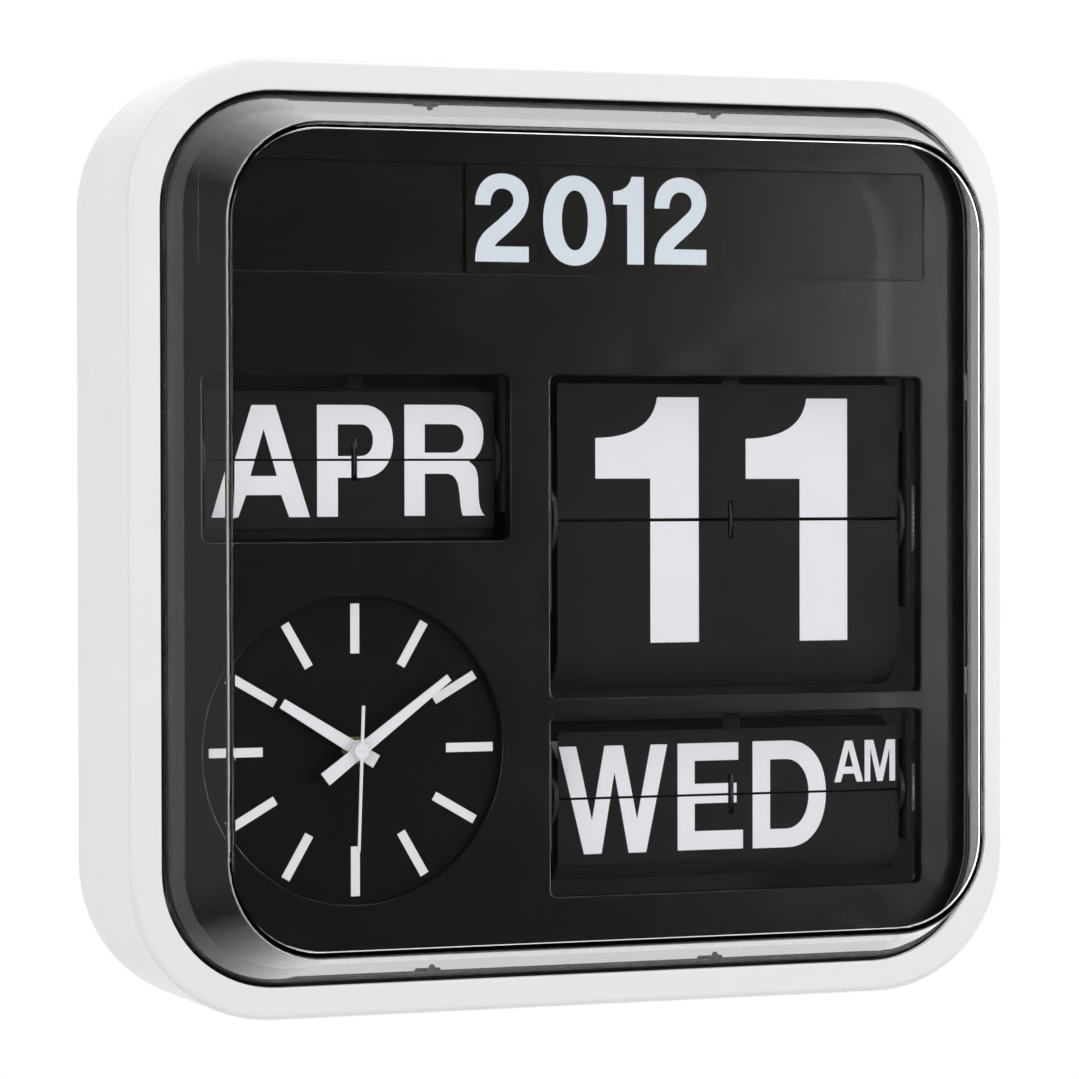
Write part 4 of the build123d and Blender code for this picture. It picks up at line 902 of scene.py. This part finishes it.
@dataclass(frozen=True)
class Letter:
    """One printed letter or figure and the box that it fills on the clock's face, in millimetres."""

    glyph: str
    left: float
    bottom: float
    right: float
    top: float

    def point(self, at: Point) -> Vector:
        """Places a point of the unit box in the letter's own box.

        Args:
            at: the point in a box one wide and one high.

        Returns:
            The point on the face, in metres.
        """
        x = self.left + at[0] * (self.right - self.left)
        y = self.bottom + at[1] * (self.top - self.bottom)
        return Vector((x, y, 0.0)) * MM

    def draw(self, curve: bpy.types.Curve) -> None:
        """Draws the letter's closed outlines.

        Args:
            curve: the flat curve that they are added to.
        """
        for outline in GLYPHS[self.glyph]:
            spline = curve.splines.new("BEZIER")
            spline.use_cyclic_u = True
            spline.bezier_points.add(len(outline) - 1)
            for index, corner in enumerate(outline):
                before = outline[index - 1]
                here, back = spline.bezier_points[index], spline.bezier_points[index - 1]
                here.co = self.point((corner.x, corner.y))
                pulls = self.pulls(before, corner)
                back.handle_right_type = here.handle_left_type = "VECTOR" if pulls is None else "FREE"
                if pulls is not None:
                    back.handle_right, here.handle_left = (self.point(pull) for pull in pulls)

    @staticmethod
    def pulls(before: Corner, corner: Corner) -> Optional[tuple[Point, Point]]:
        """Finds the pull points of the line between two corners.

        Args:
            before: the corner that it leaves.
            corner: the corner that it reaches.

        Returns:
            The two pull points in the unit box, or None if the line is straight.
        """
        if corner.pulls is not None:
            return corner.pulls
        if corner.bend is None:
            return None
        across, up = corner.x - before.x, corner.y - before.y
        rest = 1.0 - FULLNESS
        if corner.bend is Bend.FLAT_FIRST:
            return (before.x + FULLNESS * across, before.y), (corner.x, before.y + rest * up)
        return (before.x, before.y + FULLNESS * up), (before.x + rest * across, corner.y)


# How near two points of a sheet of ink count as one, and how near a point counts as on a cut, in metres
WELD_DISTANCE = 1e-6
CUT_TOLERANCE = 1e-7


@dataclass(frozen=True)
class Window:
    """A rectangle of the face that print stays inside or keeps out of, in millimetres."""

    left: float
    bottom: float
    right: float
    top: float

    def cut(self, sheet: bmesh.types.BMesh) -> None:
        """Cuts a sheet along the rectangle's four lines.

        Args:
            sheet: the sheet, flat in the XY plane and in metres.
        """
        lines = (((self.left, 0.0), (1.0, 0.0)), ((self.right, 0.0), (1.0, 0.0)),
                 ((0.0, self.bottom), (0.0, 1.0)), ((0.0, self.top), (0.0, 1.0)))
        for (x, y), (across, up) in lines:
            bmesh.ops.bisect_plane(
                sheet, geom=[*sheet.verts, *sheet.edges, *sheet.faces], dist=CUT_TOLERANCE,
                plane_co=(x * MM, y * MM, 0.0), plane_no=(across, up, 0.0))

    def holds(self, face: bmesh.types.BMFace) -> bool:
        """Returns whether a face of the cut sheet lies inside."""
        centre = face.calc_center_median() / MM
        return self.left < centre.x < self.right and self.bottom < centre.y < self.top


@dataclass(frozen=True)
class Print:
    """Letters printed as one thin film of ink.

    Attributes:
        name: the piece's name.
        letters: the letters.
        ink: the ink's finish.
        slot: the record's material slot that the ink belongs to; not used.
        thickness: the film's thickness.
        curve_steps: the straight lines that each curve of an outline is made of.
    """

    name: str
    letters: tuple[Letter, ...]
    ink: Finish
    slot: str
    thickness: float = 0.05
    curve_steps: int = 12

    def film(self, inside: Optional[Window], outside: Optional[Window]) -> bmesh.types.BMesh:
        """Makes the film lying in the XY plane.

        Args:
            inside: the window that the ink stays inside, if any.
            outside: the window that the ink keeps out of, if any.

        Returns:
            The film as a closed bmesh, in metres.
        """
        curve = bpy.data.curves.new(self.name, "CURVE")
        curve.dimensions, curve.fill_mode, curve.resolution_u = "2D", "BOTH", self.curve_steps
        for letter in self.letters:
            letter.draw(curve)
        holder = bpy.data.objects.new(self.name + "_outline", curve)
        flat = bpy.data.meshes.new_from_object(holder)
        sheet = bmesh.new()
        sheet.from_mesh(flat)
        bpy.data.objects.remove(holder)
        bpy.data.curves.remove(curve)
        bpy.data.meshes.remove(flat)
        bmesh.ops.remove_doubles(sheet, verts=sheet.verts, dist=WELD_DISTANCE)
        for window, keep in ((inside, True), (outside, False)):
            if window is not None:
                window.cut(sheet)
                waste = [face for face in sheet.faces if window.holds(face) is not keep]
                bmesh.ops.delete(sheet, geom=waste, context="FACES")
        raised = bmesh.ops.extrude_face_region(sheet, geom=sheet.faces[:], use_keep_orig=True)
        top = [part for part in raised["geom"] if isinstance(part, bmesh.types.BMVert)]
        bmesh.ops.translate(sheet, verts=top, vec=(0.0, 0.0, self.thickness * MM))
        bmesh.ops.recalc_face_normals(sheet, faces=sheet.faces)
        return sheet

    def lay(self, depth: float, body: str, move: Optional[Matrix] = None, inside: Optional[Window] = None,
            outside: Optional[Window] = None) -> None:
        """Lays the film on a face that looks forwards, as a piece that rides on a body.

        Args:
            depth: how far the face stands out from the wall, in millimetres.
            body: the CAD body that carries the face.
            move: a turn that takes the film from there to where it rests, if any.
            inside: the window that the ink stays inside, if any.
            outside: the window that the ink keeps out of, if any.
        """
        sheet = self.film(inside, outside)
        upright = Matrix.Translation((0.0, -depth * MM, 0.0)) @ Matrix.Rotation(math.radians(90), 4, "X")
        bmesh.ops.transform(sheet, matrix=(move or Matrix()) @ upright, verts=sheet.verts)
        mesh = bpy.data.meshes.new(self.name)
        sheet.to_mesh(mesh)
        sheet.free()
        mesh.materials.append(self.ink.material())
        piece = bpy.data.objects.new(self.name, mesh)
        bpy.context.scene.collection.objects.link(piece)
        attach(piece, body)
        LOG.info("%s rides on %s with %d faces", self.name, body, len(mesh.polygons))


# The displays


def joint(name: str) -> dict[str, Any]:
    """Returns one of the frame's joints by its name."""
    return next(entry for entry in frame["joints"] if entry["name"] == name)


def turn_about(point: Vector, degrees: float) -> Matrix:
    """Returns a turn about the line along X through a point."""
    there = Matrix.Translation(point)
    return there @ Matrix.Rotation(math.radians(degrees), 4, "X") @ there.inverted()


@dataclass(frozen=True)
class FlipDisplay:
    """One split-flap display, with the print of the flaps that show now and after one flip.

    The frame's joints say where its drum and its falling flap turn, and how far one flip goes.

    Attributes:
        unit: what the names of its bodies and joints start with.
        half_width: half the width of a flap.
        tail: how far a flap reaches past its pins, towards the other half.
        now: the letters that show.
        following: the letters that one flip uncovers.
        flap_thickness: a flap's thickness.
        flap_reach: a distance from the drum's axis that no flap reaches.
        notch_half: half the width of the strip at the centre notch that stays free of print.
        notch_reach: how far that strip reaches past the pins.
        edge_margin: how far print stays from the edge beside the other half.
    """

    unit: str
    half_width: float
    tail: float
    now: tuple[Letter, ...]
    following: tuple[Letter, ...]
    flap_thickness: float = 0.35
    flap_reach: float = 62.0
    notch_half: float = 1.4
    notch_reach: float = 7.1
    edge_margin: float = 0.04

    def build(self) -> None:
        """Prints the current flaps, and the two faces that one flip uncovers."""
        step = joint(self.unit + "_drum_step")
        axis, pin = Vector(step["pos_m"]), Vector(joint(self.unit + "_flap_fall")["pos_m"])
        centre, height = axis.x / MM, axis.z / MM
        pin_rise = pin.z / MM - height
        gap = pin_rise - self.tail + self.edge_margin
        left, right = centre - self.half_width, centre + self.half_width
        upper = Window(left, height + gap, right, height + self.flap_reach)
        lower = Window(left, height - self.flap_reach, right, height - gap)
        reach = pin_rise + self.notch_reach
        notch = Window(centre - self.notch_half, height - reach, centre + self.notch_half, height + reach)
        face = self.flap_thickness / 2 - pin.y / MM
        behind = turn_about(axis, -step["range_deg"][1])
        raised = turn_about(Vector((axis.x, pin.y, axis.z)), -180.0)
        drum, flap = self.unit + "_drum", self.unit + "_flap"
        for place, letters, body, window, move in (
                ("upper", self.now, flap, upper, None), ("lower", self.now, drum, lower, None),
                ("next_upper", self.following, drum, upper, behind),
                ("next_lower", self.following, flap, lower, raised)):
            print_piece = Print(f"{self.unit}_print_{place}", letters, PRINT_INK, "mark_white")
            print_piece.lay(face, body, move, window, notch)


MONTH_DISPLAY = FlipDisplay(
    "month", half_width=67.4, tail=2.1,
    now=(Letter("A", -168.5, 9.7, -125.0, 60.3), Letter("P", -121.5, 9.8, -85.2, 60.5),
         Letter("R", -79.7, 10.0, -40.8, 60.7)),
    following=(Letter("M", -167.5, 9.8, -120.5, 60.5), Letter("A", -119.0, 9.8, -75.5, 60.5),
               Letter("Y", -79.0, 9.8, -38.6, 60.5)))
DATE_DISPLAY = FlipDisplay(
    "date", half_width=86.6, tail=1.1,
    now=(Letter("1", 13.8, -49.7, 65.7, 64.7), Letter("1", 89.7, -49.9, 142.0, 64.4)),
    following=(Letter("1", 9.8, -49.7, 61.7, 64.7), Letter("2", 76.0, -49.9, 149.0, 64.6)))
WEDNESDAY = (Letter("W", -4.7, -147.3, 49.6, -97.2), Letter("E", 54.8, -147.1, 88.0, -97.1),
             Letter("D", 93.0, -147.3, 130.8, -96.9))
SMALL_M = Letter("M", 151.0, -117.3, 167.0, -97.6)
WEEKDAY_DISPLAY = FlipDisplay(
    "weekday", half_width=86.6, tail=1.7,
    now=(*WEDNESDAY, Letter("A", 135.2, -117.3, 150.2, -97.7), SMALL_M),
    following=(*WEDNESDAY, Letter("P", 136.0, -117.3, 149.0, -97.7), SMALL_M))


@dataclass(frozen=True)
class YearRow:
    """The four year tiles, each with its printed figure, in the order of the tiles."""

    figures: tuple[Letter, ...] = (
        Letter("2", -48.6, 126.0, -22.5, 166.4), Letter("0", -15.4, 124.8, 15.7, 166.2),
        Letter("slim 1", 19.2, 125.8, 34.4, 166.3), Letter("2", 39.8, 126.1, 65.8, 166.5))

    def build(self) -> None:
        """Prints one figure on the front of each tile."""
        for number, figure in enumerate(self.figures, 1):
            front = -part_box(f"year_tile_{number}")[0].y / MM
            Print(f"year_print_{number}", (figure,), YEAR_INK, "mark_white").lay(front, "year_tiles")


# The studio


@dataclass(frozen=True)
class Softbox:
    """A rectangular lamp that faces the clock. Its sizes are in metres."""

    name: str
    place: tuple[float, float, float]
    width: float
    height: float
    radiance: float

    def build(self, aim: Vector) -> None:
        """Makes the lamp.

        Args:
            aim: the point that it faces.
        """
        lamp = bpy.data.lights.new(self.name, "AREA")
        lamp.shape, lamp.size, lamp.size_y = "RECTANGLE", self.width, self.height
        lamp.energy = self.radiance * math.pi * self.width * self.height
        holder = bpy.data.objects.new(self.name, lamp)
        holder.location = self.place
        holder.rotation_euler = (aim - Vector(self.place)).to_track_quat("-Z", "Y").to_euler()
        holder.visible_camera = False
        bpy.context.scene.collection.objects.link(holder)


@dataclass(frozen=True)
class Glow:
    """A round bright patch of the surround as reflections see it, which fades towards its edge.

    Its azimuth runs from the clock's front towards +X and its elevation up from level. It is full up to one
    angle from its middle and gone from another. All four are in degrees.
    """

    azimuth: float
    elevation: float
    full: float
    gone: float
    level: float

    def wire(self, wiring: Wiring, direction: Socket) -> Socket:
        """Adds the patch to the surround.

        Args:
            wiring: the world's tree.
            direction: the direction of view.

        Returns:
            The socket of the patch's level.
        """
        turn, rise, full, gone = (
            math.radians(angle) for angle in (self.azimuth, self.elevation, self.full, self.gone))
        toward = wiring.add("ShaderNodeVectorMath", operation="DOT_PRODUCT")
        toward.inputs[1].default_value = (
            math.sin(turn) * math.cos(rise), -math.cos(turn) * math.cos(rise), math.sin(rise))
        wiring.link(direction, toward.inputs[0])
        fade = wiring.add("ShaderNodeMapRange", {"From Min": gone, "From Max": full, "To Max": self.level})
        wiring.link(wiring.math("ARCCOSINE", toward.outputs["Value"]), fade.inputs["Value"])
        return fade.outputs["Result"]


@dataclass(frozen=True)
class Studio:
    """The camera at the photograph's viewing angle, soft lamps, a white surround and a pale floor.

    Attributes:
        azimuth: how far the camera stands to the left of the clock's front, in degrees.
        elevation: how far it stands above level, in degrees.
        roll: its turn about its own line of sight, in degrees.
        distance: how far it stands from the aim.
        focal_pixels: its focal length, in pixels of the photograph.
        centre_pixels: where its line of sight meets the picture, in pixels from the top left.
        picture_pixels: the photograph's width and height.
        sensor: the width that Blender's focal length is given for, in millimetres.
        aim: the point that the camera and the lamps face.
        soft_level: how bright the surround is to matt surfaces.
        dark_level: how bright it is to reflections outside the glows.
        glows: its bright patches in reflections.
        floor_height: the floor's height.
        floor_radius: the floor's radius.
        floor_sides: the sides of the floor's rim.
        lamps: the softboxes.
    """

    azimuth: float = 21.35
    elevation: float = 0.788
    roll: float = -0.11
    distance: float = 2.0344
    focal_pixels: float = 4439.6
    centre_pixels: Point = (583.4, 537.2)
    picture_pixels: float = 1079.0
    sensor: float = 36.0
    aim: tuple[float, float, float] = (0.0, -0.088, 0.0)
    soft_level: float = 0.69
    dark_level: float = 0.015
    glows: tuple[Glow, ...] = (
        Glow(azimuth=180.0, elevation=0.0, full=36.0, gone=48.0, level=1.0),
        Glow(azimuth=168.0, elevation=39.0, full=15.0, gone=62.0, level=1.5),
        Glow(azimuth=152.0, elevation=-39.0, full=15.0, gone=62.0, level=1.5),
        Glow(azimuth=-120.0, elevation=0.0, full=12.0, gone=50.0, level=0.16),
        Glow(azimuth=92.0, elevation=0.0, full=26.0, gone=42.0, level=4.0))
    floor_height: float = -0.75
    floor_radius: float = 1.6
    floor_sides: int = 96
    lamps: tuple[Softbox, ...] = (
        Softbox("left_softbox", place=(-2.2, -1.3, 0.4), width=1.0, height=1.6, radiance=2.9),
        Softbox("right_softbox", place=(1.98, -2.5, 0.2), width=1.1, height=1.1, radiance=4.6),
        Softbox("top_softbox", place=(0.65, -0.5, 1.7), width=1.6, height=0.8, radiance=3.1))

    def build(self) -> None:
        """Builds the whole studio."""
        bpy.context.scene.view_settings.view_transform = "Standard"
        self.set_camera()
        self.light_world()
        for lamp in self.lamps:
            lamp.build(Vector(self.aim))
        self.lay_floor()
        LOG.info("studio set up with %d lamps", len(self.lamps))

    def set_camera(self) -> None:
        """Places the camera by the fitted angle, distance and focal length."""
        turn, rise, roll = (math.radians(angle) for angle in (self.azimuth, self.elevation, self.roll))
        back = Vector((-math.sin(turn) * math.cos(rise), -math.cos(turn) * math.cos(rise), math.sin(rise)))
        right = Vector((math.cos(turn), -math.sin(turn), 0.0))
        up = back.cross(right)
        rolled_right = math.cos(roll) * right + math.sin(roll) * up
        rolled_up = math.cos(roll) * up - math.sin(roll) * right
        camera = bpy.data.cameras.new("photo_camera")
        camera.sensor_width = self.sensor
        camera.lens = self.focal_pixels / self.picture_pixels * self.sensor
        camera.shift_x = 0.5 - self.centre_pixels[0] / self.picture_pixels
        camera.shift_y = self.centre_pixels[1] / self.picture_pixels - 0.5
        holder = bpy.data.objects.new("photo_camera", camera)
        turned = Matrix((rolled_right, rolled_up, back)).transposed().to_4x4()
        holder.matrix_world = Matrix.Translation(Vector(self.aim) + back * self.distance) @ turned
        bpy.context.scene.collection.objects.link(holder)
        bpy.context.scene.camera = holder

    def light_world(self) -> None:
        """Makes the surround, white to the camera, soft to matt surfaces and dark to reflections."""
        world = bpy.data.worlds.new("surround")
        world.use_nodes = True
        bpy.context.scene.world = world
        wiring = Wiring(world.node_tree)
        direction = wiring.add("ShaderNodeTexCoord").outputs["Generated"]
        shade = self.dark_level
        for glow in self.glows:
            shade = wiring.math("MAXIMUM", glow.wire(wiring, direction), shade)
        path = wiring.add("ShaderNodeLightPath").outputs
        mirrored = wiring.math("MAXIMUM", path["Is Glossy Ray"], path["Is Transmission Ray"])
        level_seen = wiring.blend(mirrored, self.soft_level, shade)
        strength = wiring.blend(path["Is Camera Ray"], level_seen, 1.0)
        background = wiring.add("ShaderNodeBackground", {"Color": grey(1.0)})
        output = wiring.add("ShaderNodeOutputWorld")
        wiring.link(strength, background.inputs["Strength"])
        wiring.link(background.outputs["Background"], output.inputs["Surface"])

    def lay_floor(self) -> None:
        """Lays a pale round floor below the clock that fades out towards its rim."""
        disc = bmesh.new()
        bmesh.ops.create_circle(disc, cap_ends=True, segments=self.floor_sides, radius=self.floor_radius)
        bmesh.ops.translate(disc, verts=disc.verts, vec=(0.0, 0.0, self.floor_height))
        mesh = bpy.data.meshes.new("floor")
        disc.to_mesh(mesh)
        disc.free()
        paint = FloorPaint("pale_floor", deep=(0.80, 0.80, 0.80), light=(0.84, 0.84, 0.84),
                           radius=self.floor_radius)
        mesh.materials.append(paint.material())
        floor = bpy.data.objects.new("floor", mesh)
        floor.visible_glossy = floor.visible_transmission = False
        bpy.context.scene.collection.objects.link(floor)


def main() -> None:
    """Sets up the studio, dresses the CAD pieces and prints the displays."""
    logging.basicConfig(level=logging.INFO, format="%(name)s: %(message)s")
    Studio().build()
    CadPieces(SLOT_FINISHES).dress()
    for display in (MONTH_DISPLAY, DATE_DISPLAY, WEEKDAY_DISPLAY):
        display.build()
    YearRow().build()


if __name__ == "__main__":
    main()
